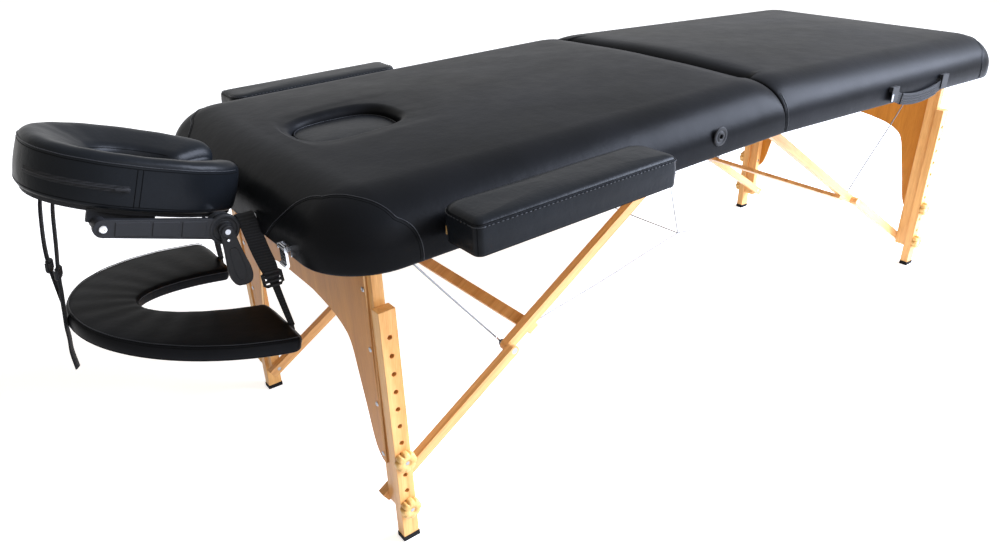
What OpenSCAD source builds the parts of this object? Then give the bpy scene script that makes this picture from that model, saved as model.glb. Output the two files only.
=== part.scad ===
// Folding massage table on wooden legs, with a head rest, an arm shelf and two lift-off armrests.
// Origin on the floor under the middle of the whole table, +X to the foot end, -Y to the front.
// Each half is drawn in its own frame: u runs out from the hinge line, y across, and w up
// from the underside of the frame.

/* [Sections] */
// Length of one padded section from the hinge line
section_l = 924; // [880:1:980]
// Width of the table over the cover
section_w = 700; // [660:1:760]
// Height of the hinge line above the floor
hinge_z = 548; // [520:1:600]
// Fall of each section from the hinge line, in degrees
peak_tilt = 1.44; // [0.6:0.01:2]
// Plan radius of the two far corners of a section
corner_r = 100; // [80:1:130]

/* [Frame and deck] */
// Height of the frame rails
frame_h = 54; // [50:1:60]
// Thickness of the frame rails
rail_t = 20; // [16:1:22]
// Distance from the cover's outside to the frame
wrap_t = 16; // [10:0.5:20]
// Thickness of the plywood deck
deck_t = 5; // [3:0.5:8]
// How far the deck is set in from the frame's outer face
deck_in = 4; // [2:0.5:6]
// Gap between the hinge line and the frame rail
hinge_rail_gap = 6; // [6:0.5:10]
// Length along the section of the leg pivot block
pivot_block_l = 50; // [36:1:60]

/* [Cushion] */
// Height of the straight lower side of the cushion
side_h = 20; // [12:1:26]
// Height of the cushion where its edge round ends
shoulder_h = 94; // [84:1:110]
// Extra height in the middle of the cushion
crown_h = 8; // [2:0.5:14]
// Height of the cushion at the hinge end
hinge_end_h = 84; // [76:1:90]
// Width of the edge round on the sides and far end
edge_round = 90; // [60:1:95]
// Length over which the cushion falls to the hinge end
hinge_fall_l = 60; // [30:1:90]
// Gap between the hinge line and the cover's end face
cover_gap = 0.4; // [0.3:0.1:1]

/* [Face opening] */
// Distance of the face opening's centre from the hinge line
face_u = 714; // [680:1:730]
// Length of the face opening
face_l = 172; // [130:1:190]
// Width of the face opening
face_w = 136; // [110:1:200]
// Roundness of the opening's outline, 1 for an ellipse and less for squarer corners
face_power = 0.72; // [0.6:0.02:1]
// Width of the ledge in the deck that carries the plug
face_ledge = 16; // [8:1:24]
// Radius of the soft lip of the opening
face_lip = 14; // [6:1:18]
// Height of the face plug
plug_h = 26; // [18:1:32]

/* [Legs] */
// Distance of the leg pivot from the hinge line
leg_u = 824; // [800:1:830]
// Height of the leg pivot above the frame's underside
leg_pivot_w = 26; // [22:0.5:28]
// Width of the upper leg along the section
upper_leg_t = 18; // [16:1:20]
// Depth of the upper leg across the table
upper_leg_d = 27; // [24:1:30]
// Distance of the upper leg's outer face from the middle
upper_leg_y = 265; // [260:1:268]
// Width of the extension leg along the section
ext_t = 28; // [24:1:30]
// Depth of the extension leg across the table
ext_d = 19.5; // [16:0.5:21]
// Distance of the extension's top end below the frame
ext_top_drop = 93.6; // [80:0.1:110]
// Distance between two height holes
hole_pitch = 32; // [28:1:34]
// Distance of the highest height hole below the frame
first_hole_drop = 138; // [130:1:150]
// Number of height holes
hole_count = 11; // [11:1:12]
// Which hole the upper knob uses, counted from 0
upper_knob_hole = 7; // [6:1:8]
// Which hole the lower knob uses, counted from 0
lower_knob_hole = 10; // [10:1:11]
// Length of upper leg below the lower knob
leg_tail = 20; // [14:1:24]
// Height of the rubber foot cap
cap_h = 9; // [7:0.5:14]
// Wall of the rubber foot cap
cap_wall = 1; // [0.5:0.5:2]
// Radius of the leg pivot bolts
pivot_bolt_r = 5; // [4:0.5:6]

/* [Panel] */
// Thickness of the plywood panel
panel_t = 5; // [4:0.5:6]
// Half width of the panel
panel_half_w = 252; // [244:1:256]
// Distance of the panel's top edge below the frame
panel_top_drop = 34; // [30:1:44]
// Distance of the arch's highest point below the frame
arch_top_drop = 146; // [130:1:160]
// Distance of the panel's lowest points below the frame
panel_low_drop = 385; // [360:1:400]

/* [Knobs] */
// Radius of a clamp knob
knob_r = 18; // [15:0.5:19]
// Depth of a clamp knob
knob_h = 13; // [10:1:18]
// Number of notches round a knob
knob_notches = 8; // [6:1:10]
// Radius of the clamp bolts
clamp_bolt_r = 4; // [3:0.5:5]

/* [Braces] */
// Width of the braces
brace_t = 19; // [15:1:20]
// Depth of the braces across the table
brace_d = 15.5; // [13:0.1:16]
// Distance of the upper brace's frame pivot from the hinge line
brace_u = 50; // [46:1:60]
// Height of the upper brace's frame pivot
brace_w = 14; // [12:0.5:15]
// Radius of the brace pins
brace_pin_r = 3; // [2.5:0.5:4]
// Length of the lower brace past its leg pivot
brace_tail = 18; // [14:1:22]
// Distance of the crossbar's middle from the elbow
crossbar_back = 56; // [46:1:70]
// Width of the crossbar
crossbar_l = 22; // [18:1:30]
// Thickness of the crossbar
crossbar_t = 9; // [6:0.5:10]
// Radius of the support cables
cable_r = 1; // [0.75:0.25:1.5]

/* [Armrests] */
// Distance of the armrest's near end from the hinge line
armrest_u = 402; // [390:1:410]
// Length of an armrest
armrest_l = 368; // [340:1:380]
// Width of an armrest
armrest_w = 86; // [70:1:100]
// Height of an armrest
armrest_h = 52; // [44:1:60]
// Height of the armrest's underside above the frame's
armrest_low = 27; // [26:0.5:29]
// Height of the armrest sockets above the frame's underside
socket_w = 36; // [34:0.5:38]
// Radius of an armrest socket
socket_r = 4; // [3:0.5:5]
// Distances of the armrest sockets from the hinge line
socket_us = [190, 478, 678]; // [100:1:750]

/* [Head rest] */
// Distance of the two rods from the middle
rod_y = 104; // [100:1:106]
// Height of the rods above the frame's underside
rod_w = 22.5; // [20:0.5:26]
// Radius of the rods
rod_r = 6; // [5:0.5:8]
// Distance of the hub axle from the table's end
hub_out = 50; // [48:0.5:56]
// Radius of the hub discs
hub_r = 22; // [18:1:23]
// Distance of the platform's pivots from the table's end
tip_out = 199; // [190:0.5:210]
// Height of the platform's pivots above the frame's underside
tip_w = 68; // [62:0.5:72]
// Slope of the pad in degrees, measured from the section
pad_tilt = 19.6; // [16:0.1:22]
// Distance of the head pad's middle from the table's end
pad_out = 133; // [128:0.5:145]
// Height of the pad's underside at its middle, above the frame's underside
pad_base_w = 66.7; // [62:0.1:72]
// Width of the head pad
pad_w = 216; // [200:1:220]
// Length of the head pad
pad_l = 290; // [270:1:300]
// Thickness of the head pad
pad_t = 72; // [60:1:80]
// Width of the head pad's opening
pad_hole_w = 84; // [70:1:90]
// Width of the head pad's soft side at its outer end
pad_back = 84; // [70:1:95]
// Thickness of the platform
platform_t = 6; // [4:0.5:8]
// Length of the cam lever below the hub
lever_l = 88; // [70:1:95]

/* [Arm shelf] */
// Width of the arm shelf
shelf_w = 428; // [380:1:450]
// Length of the arm shelf
shelf_l = 265; // [240:1:280]
// Thickness of the arm shelf
shelf_t = 22; // [18:1:28]
// Height of the middle of the arm shelf's top above the floor
shelf_z = 411; // [395:1:425]
// Slope of the arm shelf in degrees, rising away from the table
shelf_pitch = 8.6; // [0:0.1:10]
// Distance of the shelf's middle from the hinge line
shelf_out = 1046.4; // [1040:0.1:1060]
// Width of the arm shelf's opening
shelf_hole_w = 150; // [130:1:170]
// Depth of the arm shelf's solid outer part
shelf_back = 96; // [80:1:110]
// Width of the shelf's straps
strap_w = 22; // [16:1:25]
// Thickness of the shelf's straps
strap_t = 2; // [1.5:0.5:3]

/* [Hidden] */

HEAD = -1;
FOOT = 1;
REAR = 1;
FRONT = -1;

// Colours
vinyl = [0.07, 0.07, 0.08];
beech = [0.86, 0.68, 0.47];
ply = [0.66, 0.44, 0.18];
board = [0.62, 0.5, 0.34];
steel = [0.7, 0.7, 0.72];
black_plastic = [0.05, 0.05, 0.05];
webbing = [0.03, 0.03, 0.03];

// Clearances and one overrun for all cuts
run_gap = 0.05;
side_gap = 0.3;
cut = 1;
mm = 1;

// Plan and height of a section
half_w = section_w / 2;
frame_half = half_w - wrap_t;
deck_top = frame_h + deck_t;

// Leg lanes, from the frame inwards
ext_y = upper_leg_y + side_gap;
leg_in_y = upper_leg_y - upper_leg_d;
lower_brace_y = leg_in_y - side_gap;
upper_brace_y = lower_brace_y - brace_d - side_gap;
upper_brace_in_y = upper_brace_y - brace_d;

// Knob and hole heights in the section frame
upper_knob_w = -first_hole_drop - upper_knob_hole * hole_pitch;
lower_knob_w = -first_hole_drop - lower_knob_hole * hole_pitch;
knob_seat_y = ext_y + ext_d + side_gap;
bolt_end_y = upper_brace_y + 2 * side_gap;

// Brace linkage: the elbow lies on the straight line from the frame pivot to the leg
// pin, where both braces also reach when the leg is folded up into the frame.
leg_reach = leg_pivot_w - lower_knob_w;
rest_span = norm([leg_u - brace_u, lower_knob_w - brace_w]);
folded_span = norm([leg_u - leg_reach - brace_u, leg_pivot_w - brace_w]);
upper_brace_l = (rest_span + folded_span) / 2;
lower_brace_l = (rest_span - folded_span) / 2;
brace_slope = atan2(brace_w - lower_knob_w, leg_u - brace_u);
elbow_u = brace_u + upper_brace_l * cos(brace_slope);
elbow_w = brace_w - upper_brace_l * sin(brace_slope);

// Head rest, in the head section's frame
hub_u = section_l + hub_out;
tip_u = section_l + tip_out;
arm_slope = atan2(tip_w - rod_w, tip_u - hub_u);
arm_len = norm([tip_u - hub_u, tip_w - rod_w]);
pad_world_tilt = pad_tilt - peak_tilt;

// The table's centre between the far end of the foot section and of the head pad
strike_t = 2;
foot_reach = (section_l + strike_t) * cos(peak_tilt) + side_h * sin(peak_tilt);
ring_angles = [for (i = [0:11]) 30 * i];
soft_power = 0.62;
pad_edge = 22;
pad_mid_u = section_l + pad_out;
pad_mid_x = pad_mid_u * cos(peak_tilt) + pad_base_w * sin(peak_tilt);
pad_far_points = soft_section([pad_l / 2, 0], [pad_l / 2 - pad_back, 0], pad_t, pad_edge, 1);
head_reach = pad_mid_x + max([for (p = pad_far_points)
    p[0] * cos(pad_world_tilt) - (p[2] + pad_t / 2) * sin(pad_world_tilt)]);
place_x = (head_reach - foot_reach) / 2;

// Places the children, drawn in a section's frame, on the head or the foot half.
module at_half(side) {
    translate([place_x, 0, hinge_z])
        mirror([side == HEAD ? 1 : 0, 0, 0])
            rotate([0, peak_tilt, 0]) children();
}

// Draws the children at +y and again mirrored at -y.
module both_sides() {
    for (flip = [0, 1]) mirror([0, flip, 0]) children();
}

// Draws the children, made for +y, on the rear or the front.
module on_side(side) {
    mirror([0, side == FRONT ? 1 : 0, 0]) children();
}

// A round bar along y between two distances from the middle.
module bar_y(u, w, r, y_from, y_to) {
    translate([u, y_from, w]) rotate([-90, 0, 0]) cylinder(r = r, h = y_to - y_from, $fn = 48);
}

// A round bar along u.
module bar_u(u_from, u_to, y, w, r) {
    translate([u_from, y, w]) rotate([0, 90, 0]) cylinder(r = r, h = u_to - u_from, $fn = 48);
}

// A block between two corners.
module block(low, high) {
    translate(low) cube(high - low);
}

// A straight round wire between two points.
module wire(from, to, r) {
    run = to - from;
    translate(from)
        rotate([0, acos(run[2] / norm(run)), atan2(run[1], run[0])])
            cylinder(r = r, h = norm(run), $fn = 16);
}

// Plan of a section: square at the hinge end, with two round far corners.
module plan(inset, start_u) {
    r = corner_r - inset;
    straight_end = section_l - corner_r;
    translate([start_u, inset - half_w]) square([straight_end - start_u, 2 * (half_w - inset)]);
    translate([straight_end - mm, corner_r - half_w]) square([r + mm, 2 * (half_w - corner_r)]);
    for (y = [-1, 1]) translate([straight_end, y * (half_w - corner_r)]) circle(r = r, $fn = 96);
}

// Points of the face opening's outline.
function oval(a, b, n) = [for (i = [0:n - 1]) oval_at(a, b, 360 * i / n, face_power)];

function mix(a, b, t) = a + (b - a) * t;
function quad_faces(a, b, c, d) = [[a, d, c], [a, c, b]];

// Faces between successive closed rings of n points, with or without the last step back to
// the first ring; a flat end closes an open stack.
function ring_faces(rings, n, closed) = concat(
    [for (k = [0:rings - (closed ? 1 : 2)]) for (j = [0:n - 1])
        let (a = k * n + j, b = k * n + (j + 1) % n,
             up = ((k + 1) % rings) * n, d = up + j, c = up + (j + 1) % n)
        each quad_faces(a, b, c, d)],
    closed ? [] : [[for (j = [0:n - 1]) j], [for (j = [n - 1:-1:0]) (rings - 1) * n + j]]
);

module ring_solid(rings, closed = false) {
    n = len(rings[0]);
    polyhedron([for (ring = rings) each ring], ring_faces(len(rings), n, closed));
}

// Cushion of a section. Each ring is a closed loop that runs down the hinge end, along the
// front, round the far end and back along the rear.
hinge_steps = 6;
corner_steps = 5;
far_steps = 6;
side_shares = [0, 0.005, 0.017, 0.038, 0.085, 0.25, 0.5, 0.75];
edge_angles = [0, 14, 28, 43, 60, 90];
inner_shares = [0.012, 0.035, 0.09, 0.3, 0.62, 0.86];

function loop_uv(u0, inset, wide_inset) =
    let (r = corner_r - inset, hw = half_w - wide_inset, u1 = section_l - corner_r,
         yc = half_w - corner_r)
    concat(
        [for (i = [0:hinge_steps - 1]) [u0, mix(hw, -hw, i / hinge_steps)]],
        [for (s = side_shares) [mix(u0, u1, s), -hw]],
        [for (i = [0:corner_steps - 1])
            let (a = -90 + 90 * i / corner_steps) [u1 + r * cos(a), -yc + r * sin(a)]],
        [for (i = [0:far_steps - 1]) [u1 + r, mix(-yc, yc, i / far_steps)]],
        [for (i = [0:corner_steps])
            let (a = 90 * i / corner_steps) [u1 + r * cos(a), yc + r * sin(a)]],
        [for (i = [len(side_shares) - 1:-1:1]) [mix(u0, u1, side_shares[i]), hw]]
    );

// Points of the core loop, one for each point of the outer loop, evenly round an ellipse.
function core_uv(a, b, outer, power = 1) = [for (i = [0:len(outer) - 1])
    let (bearing = 180 + 360 * (i - hinge_steps / 2) / len(outer))
    [face_u, 0] + oval_at(a, b, bearing, power)];

// Height of the cushion's top: the edge round's share of the rise, less the fall to the hinge end.
function hinge_share(u) = u >= hinge_fall_l ? 1 : sqrt(1 - pow(1 - max(u, 0) / hinge_fall_l, 2));
function shoulder(u) = mix(hinge_end_h, shoulder_h, hinge_share(u));
function far_share(u) = min(1, max(0, (section_l - edge_round - u) / (2 * edge_round)));
function crown(u, y) = crown_h * hinge_share(u) * sin(90 * far_share(u))
    * max(0, 1 - pow(y / (half_w - edge_round), 2));
function top_w(u, y) = shoulder(u) + crown(u, y);

// Fraction of the way along the section from which the cushion's rings spread.
tuck_in = 3;
tuck_h = 8;
corner_sag = (corner_r - wrap_t) * (1 - cos(45 / corner_steps));
skirt_in = wrap_t - side_gap - corner_sag;
cushion_low = deck_top + side_gap;
deck_back = 0.5;
core_half_l = 60;
core_half_w = 90;

function at_w(loop, w) = [for (p = loop) [p[0], p[1], w]];
function outer_rings() = concat(
    [at_w(loop_uv(cover_gap, tuck_in, tuck_in), 0), at_w(loop_uv(cover_gap, 0, 0), tuck_h)],
    [for (a = edge_angles)
        let (inset = edge_round * (1 - cos(a)), loop = loop_uv(cover_gap, inset, inset))
        [for (p = loop) [p[0], p[1], side_h + (shoulder(p[0] - cover_gap) - side_h) * sin(a)]]]
);
function spread_rings(core) = let (edge = loop_uv(cover_gap, edge_round, edge_round)) [
    for (t = inner_shares) [for (j = [0:len(edge) - 1])
        let (p = mix(edge[j], core[j], t)) [p[0], p[1], top_w(p[0] - cover_gap, p[1])]]
];
function skirt_loop(inset, back = 0) = loop_uv(hinge_rail_gap - side_gap - back, inset, inset);
function skirt_rings() = [
    at_w(skirt_loop(skirt_in + deck_in, deck_back), cushion_low),
    at_w(skirt_loop(skirt_in + deck_in, deck_back), frame_h + side_gap),
    at_w(skirt_loop(skirt_in), frame_h + side_gap), at_w(skirt_loop(skirt_in), 0)
];

module plain_cushion() {
    outer = loop_uv(cover_gap, edge_round, edge_round);
    core = core_uv(core_half_l, core_half_w, outer);
    ring_solid(concat([at_w(core, cushion_low)], skirt_rings(), outer_rings(), spread_rings(core),
        [at_w(core, shoulder_h + crown_h)]));
}

module holed_cushion() {
    outer = loop_uv(cover_gap, edge_round, edge_round);
    rim = core_uv(face_l / 2 + face_lip, face_w / 2 + face_lip, outer, face_power);
    lip = core_uv(face_l / 2 + face_lip / 4, face_w / 2 + face_lip / 4, outer, face_power);
    wall = core_uv(face_l / 2, face_w / 2, outer, face_power);
    rim_h = shoulder_h + crown_h;
    ring_solid(concat([at_w(wall, cushion_low)], skirt_rings(), outer_rings(), spread_rings(rim),
        [at_w(rim, rim_h - face_lip / 8), at_w(lip, rim_h - face_lip / 2),
            at_w(wall, rim_h - face_lip - face_lip / 2)]),
        closed = true);
}

// Clear space that the centre hinge needs at the end of a cushion.
hinge_clear_h = 7;
module hinge_notch() {
    block([-cut, -frame_half, -cut], [hinge_rail_gap + side_gap, frame_half, hinge_clear_h]);
}

module grommet_holes(r) {
    for (u = socket_us) both_sides() bar_y(u, socket_w, r, frame_half - rail_t - cut, half_w + cut);
}

grommet_sleeve_r = 8;
grommet_flange_r = 17;
grommet_flange_t = 3;

module cushion(side) {
    color(vinyl) at_half(side) difference() {
        if (side == HEAD) holed_cushion(); else plain_cushion();
        hinge_notch();
        if (side == HEAD) grommet_holes(grommet_sleeve_r + side_gap);
        if (side == HEAD) rod_holes(rod_r + 2 * side_gap);
    }
}

// Holes for the head rest's rods through the end of the head section.
module rod_holes(r) {
    for (y = [-rod_y, rod_y]) bar_u(section_l - wrap_t - rail_t - cut, section_l + cut, y, rod_w, r);
}

// Rectangular rail frame with curved far corners, pivot blocks for the legs and a let-in
// strip for each hinge leaf.
leaf_t = 2;
leaf_l = 22;
hinge_len = 90;
hinge_y = 240;
knuckle_r = 4.5;
hinge_pin_r = 2.5;
knuckle_parts = 5;

module frame(side) {
    color(board) at_half(side) difference() {
        union() {
            linear_extrude(frame_h) difference() {
                plan(wrap_t, hinge_rail_gap);
                plan(wrap_t + rail_t, hinge_rail_gap + rail_t);
            }
            both_sides() block([leg_u - pivot_block_l / 2, ext_y, 0],
                [leg_u + pivot_block_l / 2, frame_half - rail_t / 2, frame_h]);
        }
        both_sides() bar_y(leg_u, leg_pivot_w, pivot_bolt_r + run_gap, upper_leg_y - cut, half_w);
        both_sides() block([hinge_rail_gap - cut, hinge_y - hinge_len / 2 - side_gap, -cut],
            [hinge_rail_gap + leaf_l, hinge_y + hinge_len / 2 + side_gap, leaf_t + side_gap / 2]);
        if (side == HEAD) grommet_holes(grommet_sleeve_r + run_gap);
        if (side == HEAD) rod_holes(rod_r + run_gap);
    }
}

module deck(side) {
    color(board) at_half(side) translate([0, 0, frame_h]) difference() {
        linear_extrude(deck_t) plan(wrap_t + deck_in, hinge_rail_gap);
        if (side == HEAD) translate([face_u, 0, -cut]) linear_extrude(deck_t + 2 * cut)
            polygon(oval(face_l / 2 - face_ledge, face_w / 2 - face_ledge, 48));
    }
}

// Hinge leaf with its share of the knuckles round the pin; the halves take turns.
module hinge_leaves(side) {
    part_l = hinge_len / knuckle_parts;
    color(steel) at_half(side) both_sides() difference() {
        union() {
            block([hinge_rail_gap, hinge_y - hinge_len / 2, 0],
                [hinge_rail_gap + leaf_l - side_gap, hinge_y + hinge_len / 2, leaf_t]);
            for (i = [side == HEAD ? 0 : 1:2:knuckle_parts - 1]) {
                y0 = hinge_y - hinge_len / 2 + i * part_l;
                block([0, y0 + side_gap / 2, 0], [hinge_rail_gap + cut, y0 + part_l - side_gap / 2, leaf_t]);
                bar_y(0, 0, knuckle_r, y0 + side_gap / 2, y0 + part_l - side_gap / 2);
            }
        }
        bar_y(0, 0, hinge_pin_r + run_gap, hinge_y - hinge_len, hinge_y + hinge_len);
    }
}

module centre_hinge_pins() {
    color(steel) translate([place_x, 0, hinge_z]) both_sides()
        bar_y(0, 0, hinge_pin_r, hinge_y - hinge_len / 2 - mm, hinge_y + hinge_len / 2 + mm);
}

// Bolts that carry the legs: from the side rail through its block and the upper leg.
pivot_nut_t = 5;
pivot_nut_r = 8;
module leg_bolts(side) {
    color(steel) at_half(side) both_sides() {
        bar_y(leg_u, leg_pivot_w, pivot_bolt_r, leg_in_y - 2 * mm, frame_half - 2 * mm);
        bar_y(leg_u, leg_pivot_w, pivot_nut_r, leg_in_y - side_gap - pivot_nut_t, leg_in_y - side_gap);
    }
}

// Steel cheek plates on the hinge rail, with the pin of the upper brace.
cheek_t = 2;
cheek_low = 4;
cheek_high = 24;
module brace_brackets(side) {
    rail_in = hinge_rail_gap + rail_t;
    out = upper_brace_y + side_gap;
    in = upper_brace_in_y - side_gap;
    color(steel) at_half(side) both_sides() {
        block([rail_in, out, cheek_low], [brace_u + brace_t / 2, out + cheek_t, cheek_high]);
        block([rail_in, in - cheek_t, cheek_low], [brace_u + brace_t / 2, in, cheek_high]);
        block([rail_in, in - cheek_t, cheek_low], [rail_in + cheek_t, out + cheek_t, cheek_high]);
        bar_y(brace_u, brace_w, brace_pin_r, in - cheek_t / 2, out + cheek_t / 2);
    }
}

module side_grommets() {
    color(black_plastic) at_half(HEAD) for (u = socket_us) both_sides() difference() {
        union() {
            bar_y(u, socket_w, grommet_sleeve_r, frame_half - rail_t, half_w + mm);
            bar_y(u, socket_w, grommet_flange_r, half_w, half_w + grommet_flange_t);
        }
        bar_y(u, socket_w, socket_r, frame_half - rail_t - cut, half_w + grommet_flange_t + cut);
    }
}

// Draw latches on the head end that close over the strikes on the foot end.
latch_y = 214;
latch_w = 24;
latch_low = 3;
latch_high = 19;
latch_pin_r = 1.5;
latch_ear_t = 2;
latch_out = 5;
hook_r = 3.5;
hook_l = 26;
hook_tip_r = 3;
latch_pin_u = section_l + strike_t + latch_out;
latch_pin_w = latch_high - hook_r;

module latch_plates() {
    color(steel) at_half(HEAD) both_sides() {
        block([section_l, latch_y - latch_w / 2, latch_low],
            [section_l + strike_t, latch_y + latch_w / 2, latch_high]);
        for (y = [latch_y - latch_w / 2, latch_y + latch_w / 2 - latch_ear_t])
            block([section_l, y, latch_pin_w - hook_r],
                [latch_pin_u + hook_r, y + latch_ear_t, latch_pin_w + hook_r]);
        bar_y(latch_pin_u, latch_pin_w, latch_pin_r, latch_y - latch_w / 2 + mm, latch_y + latch_w / 2 - mm);
    }
}

module latch_hook(side) {
    inner = latch_w / 2 - latch_ear_t - side_gap;
    color(steel) at_half(HEAD) on_side(side) difference() {
        union() {
            bar_y(latch_pin_u, latch_pin_w, hook_r, latch_y - inner, latch_y + inner);
            block([latch_pin_u - hook_r / 2, latch_y - inner, latch_pin_w - hook_l],
                [latch_pin_u + hook_r / 2, latch_y + inner, latch_pin_w]);
            bar_y(latch_pin_u + hook_r / 2, latch_pin_w - hook_l, hook_tip_r, latch_y - inner, latch_y + inner);
        }
        bar_y(latch_pin_u, latch_pin_w, latch_pin_r + run_gap, latch_y - latch_w, latch_y + latch_w);
    }
}

module latch_strikes() {
    color(steel) at_half(FOOT) both_sides()
        block([section_l, latch_y - latch_w / 2, latch_low],
            [section_l + strike_t, latch_y + latch_w / 2, latch_high]);
}

// Carrying handle: a webbing loop between two fittings on the front of the foot section.
handle_u = 380;
handle_l = 220;
handle_w = 25;
handle_t = 3;
handle_top = 38;
handle_drop = 24;
handle_steps = 12;
fitting_l = 30;
fitting_h = 34;
handle_off = 4;
handle_start = handle_top - handle_w / 2 - 5 * mm;
function handle_at(s) = [handle_u + handle_l * s,
    handle_start - (handle_start + handle_drop) * pow(sin(180 * s), 0.7)];
function handle_edge(s, lift) = handle_at(s) + [0, lift * (1 - 0.5 * sin(180 * s))];

module handle_strap() {
    outline = concat(
        [for (i = [0:handle_steps]) handle_edge(i / handle_steps, handle_w / 2)],
        [for (i = [handle_steps:-1:0]) handle_edge(i / handle_steps, 0)]
    );
    color(webbing) at_half(FOOT) translate([0, -half_w - handle_off, 0])
        rotate([90, 0, 0]) linear_extrude(handle_t) polygon(outline);
}

module handle_fittings() {
    color(black_plastic) at_half(FOOT) for (u = [handle_u - fitting_l / 2, handle_u + handle_l - fitting_l / 2])
        difference() {
            block([u, -half_w - handle_off - handle_t - cheek_t, handle_top - fitting_h],
                [u + fitting_l, -half_w, handle_top]);
            block([u - cut, -half_w - handle_off - handle_t - side_gap, handle_top - fitting_h - cut],
                [u + fitting_l + cut, -half_w - handle_off + side_gap, handle_top - 4 * mm]);
        }
}

// Armrest: a board with two steel pins under a padded cover.
board_t = 12;
board_in = 10;
armrest_y = half_w + grommet_flange_t + side_gap;
armrest_steps = 6;
armrest_corner = 16;
armrest_soft = 0.06;
armrest_shares = [[0, 0.035], [0.08, 0.005], [0.45, 0], [0.82, 0.01], [0.93, 0.04], [0.985, 0.1]];
armrest_top_shares = [0.3, 0.7];

function round_rect(l, w, r, steps) = [for (c = [[1, -1, -90], [1, 1, 0], [-1, 1, 90], [-1, -1, 180]])
    for (i = [0:steps]) let (a = c[2] + 90 * i / steps)
        [c[0] * (l / 2 - r) + r * cos(a), c[1] * (w / 2 - r) + r * sin(a)]];

module armrest_pad(side) {
    mid = [armrest_u + armrest_l / 2, armrest_y + armrest_w / 2];
    color(vinyl) at_half(HEAD) on_side(side) difference() {
        translate([mid[0], mid[1], armrest_low]) ring_solid(concat(
            [for (s = armrest_shares) let (inset = s[1] * armrest_w)
                at_w(round_rect(armrest_l - 2 * inset, armrest_w - 2 * inset, armrest_corner, armrest_steps),
                    s[0] * armrest_h * (1 - armrest_soft))],
            [for (s = armrest_top_shares)
                at_w(round_rect(armrest_l * (1 - s), armrest_w * (1 - s), armrest_corner * (1 - s),
                        armrest_steps),
                    armrest_h * (1 - armrest_soft * (1 - s)))]
        ));
        block([armrest_u + board_in - side_gap, armrest_y - cut, socket_w - board_t / 2 - side_gap],
            [armrest_u + armrest_l - board_in + side_gap, armrest_y + armrest_w - board_in + side_gap,
             socket_w + board_t / 2 + side_gap]);
    }
}

armrest_pin_in = 36;
module armrest_base(side) {
    color(steel) at_half(HEAD) on_side(side) {
        block([armrest_u + board_in, armrest_y, socket_w - board_t / 2],
            [armrest_u + armrest_l - board_in, armrest_y + armrest_w - board_in, socket_w + board_t / 2]);
        for (u = [socket_us[1], socket_us[2]])
            bar_y(u, socket_w, socket_r - run_gap, armrest_y - armrest_pin_in, armrest_y + board_in);
    }
}

plug_gap = 1;
plug_side_shares = [[0.04, 0], [0, 0.1], [0, 0.7], [0.03, 0.88], [0.14, 0.97], [0.5, 1]];
module face_plug() {
    color(vinyl) at_half(HEAD) translate([face_u, 0, deck_top])
        ring_solid([for (s = plug_side_shares)
            at_w(oval((face_l / 2 - plug_gap) * (1 - s[0]), (face_w / 2 - plug_gap) * (1 - s[0]), 36),
                plug_h * s[1])]);
}

// Panel outline as shares of the half width and of the drop from the arch's top to the panel's
// lowest points.
arch_shares = [[0, 0], [0.22, 0], [0.47, 0.04], [0.58, 0.075], [0.66, 0.117], [0.714, 0.167],
    [0.762, 0.385], [0.825, 0.615], [0.873, 0.84], [0.91, 0.935], [0.955, 0.985], [1, 1]];
panel_u = leg_u + upper_leg_t / 2;

module panel(side) {
    arch = [for (s = arch_shares)
        [s[0] * panel_half_w, -mix(arch_top_drop, panel_low_drop, s[1])]];
    outline = concat(arch, [[panel_half_w, -panel_top_drop]]);
    color(ply) at_half(side) translate([panel_u, 0, 0]) rotate([90, 0, 90])
        linear_extrude(panel_t) polygon(concat(outline,
            [for (i = [len(outline) - 1:-1:1]) [-outline[i][0], outline[i][1]]]));
}

// Two upper legs joined by a top rail.
top_rail_h = 30;
module leg_frame(side) {
    rail_top = -panel_top_drop + 2 * mm;
    color(beech) at_half(side) difference() {
        union() {
            both_sides() {
                block([leg_u - upper_leg_t / 2, leg_in_y, lower_knob_w - leg_tail + upper_leg_t / 2],
                    [leg_u + upper_leg_t / 2, upper_leg_y, leg_pivot_w]);
                bar_y(leg_u, leg_pivot_w, upper_leg_t / 2, leg_in_y, upper_leg_y);
                bar_y(leg_u, lower_knob_w - leg_tail + upper_leg_t / 2, upper_leg_t / 2, leg_in_y, upper_leg_y);
            }
            block([leg_u - upper_leg_t / 2, -leg_in_y - mm, rail_top - top_rail_h],
                [leg_u + upper_leg_t / 2, leg_in_y + mm, rail_top]);
        }
        both_sides() {
            bar_y(leg_u, leg_pivot_w, pivot_bolt_r + run_gap, leg_in_y - cut, upper_leg_y + cut);
            for (w = [upper_knob_w, lower_knob_w])
                bar_y(leg_u, w, clamp_bolt_r + run_gap, leg_in_y - cut, upper_leg_y + cut);
        }
    }
}

// Extension leg, cut level at the floor inside its cap.
function floor_w(u) = (u * sin(peak_tilt) - hinge_z) / cos(peak_tilt);
cap_base_t = 4;
leg_end_w = floor_w(leg_u) + cap_base_t;

module extension(side, y_side) {
    color(beech) at_half(side) on_side(y_side) difference() {
        block([leg_u - ext_t / 2, ext_y, leg_end_w], [leg_u + ext_t / 2, ext_y + ext_d, -ext_top_drop]);
        for (i = [0:hole_count - 1])
            bar_y(leg_u, -first_hole_drop - i * hole_pitch, clamp_bolt_r + run_gap,
                ext_y - cut, ext_y + ext_d + cut);
    }
}

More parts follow.
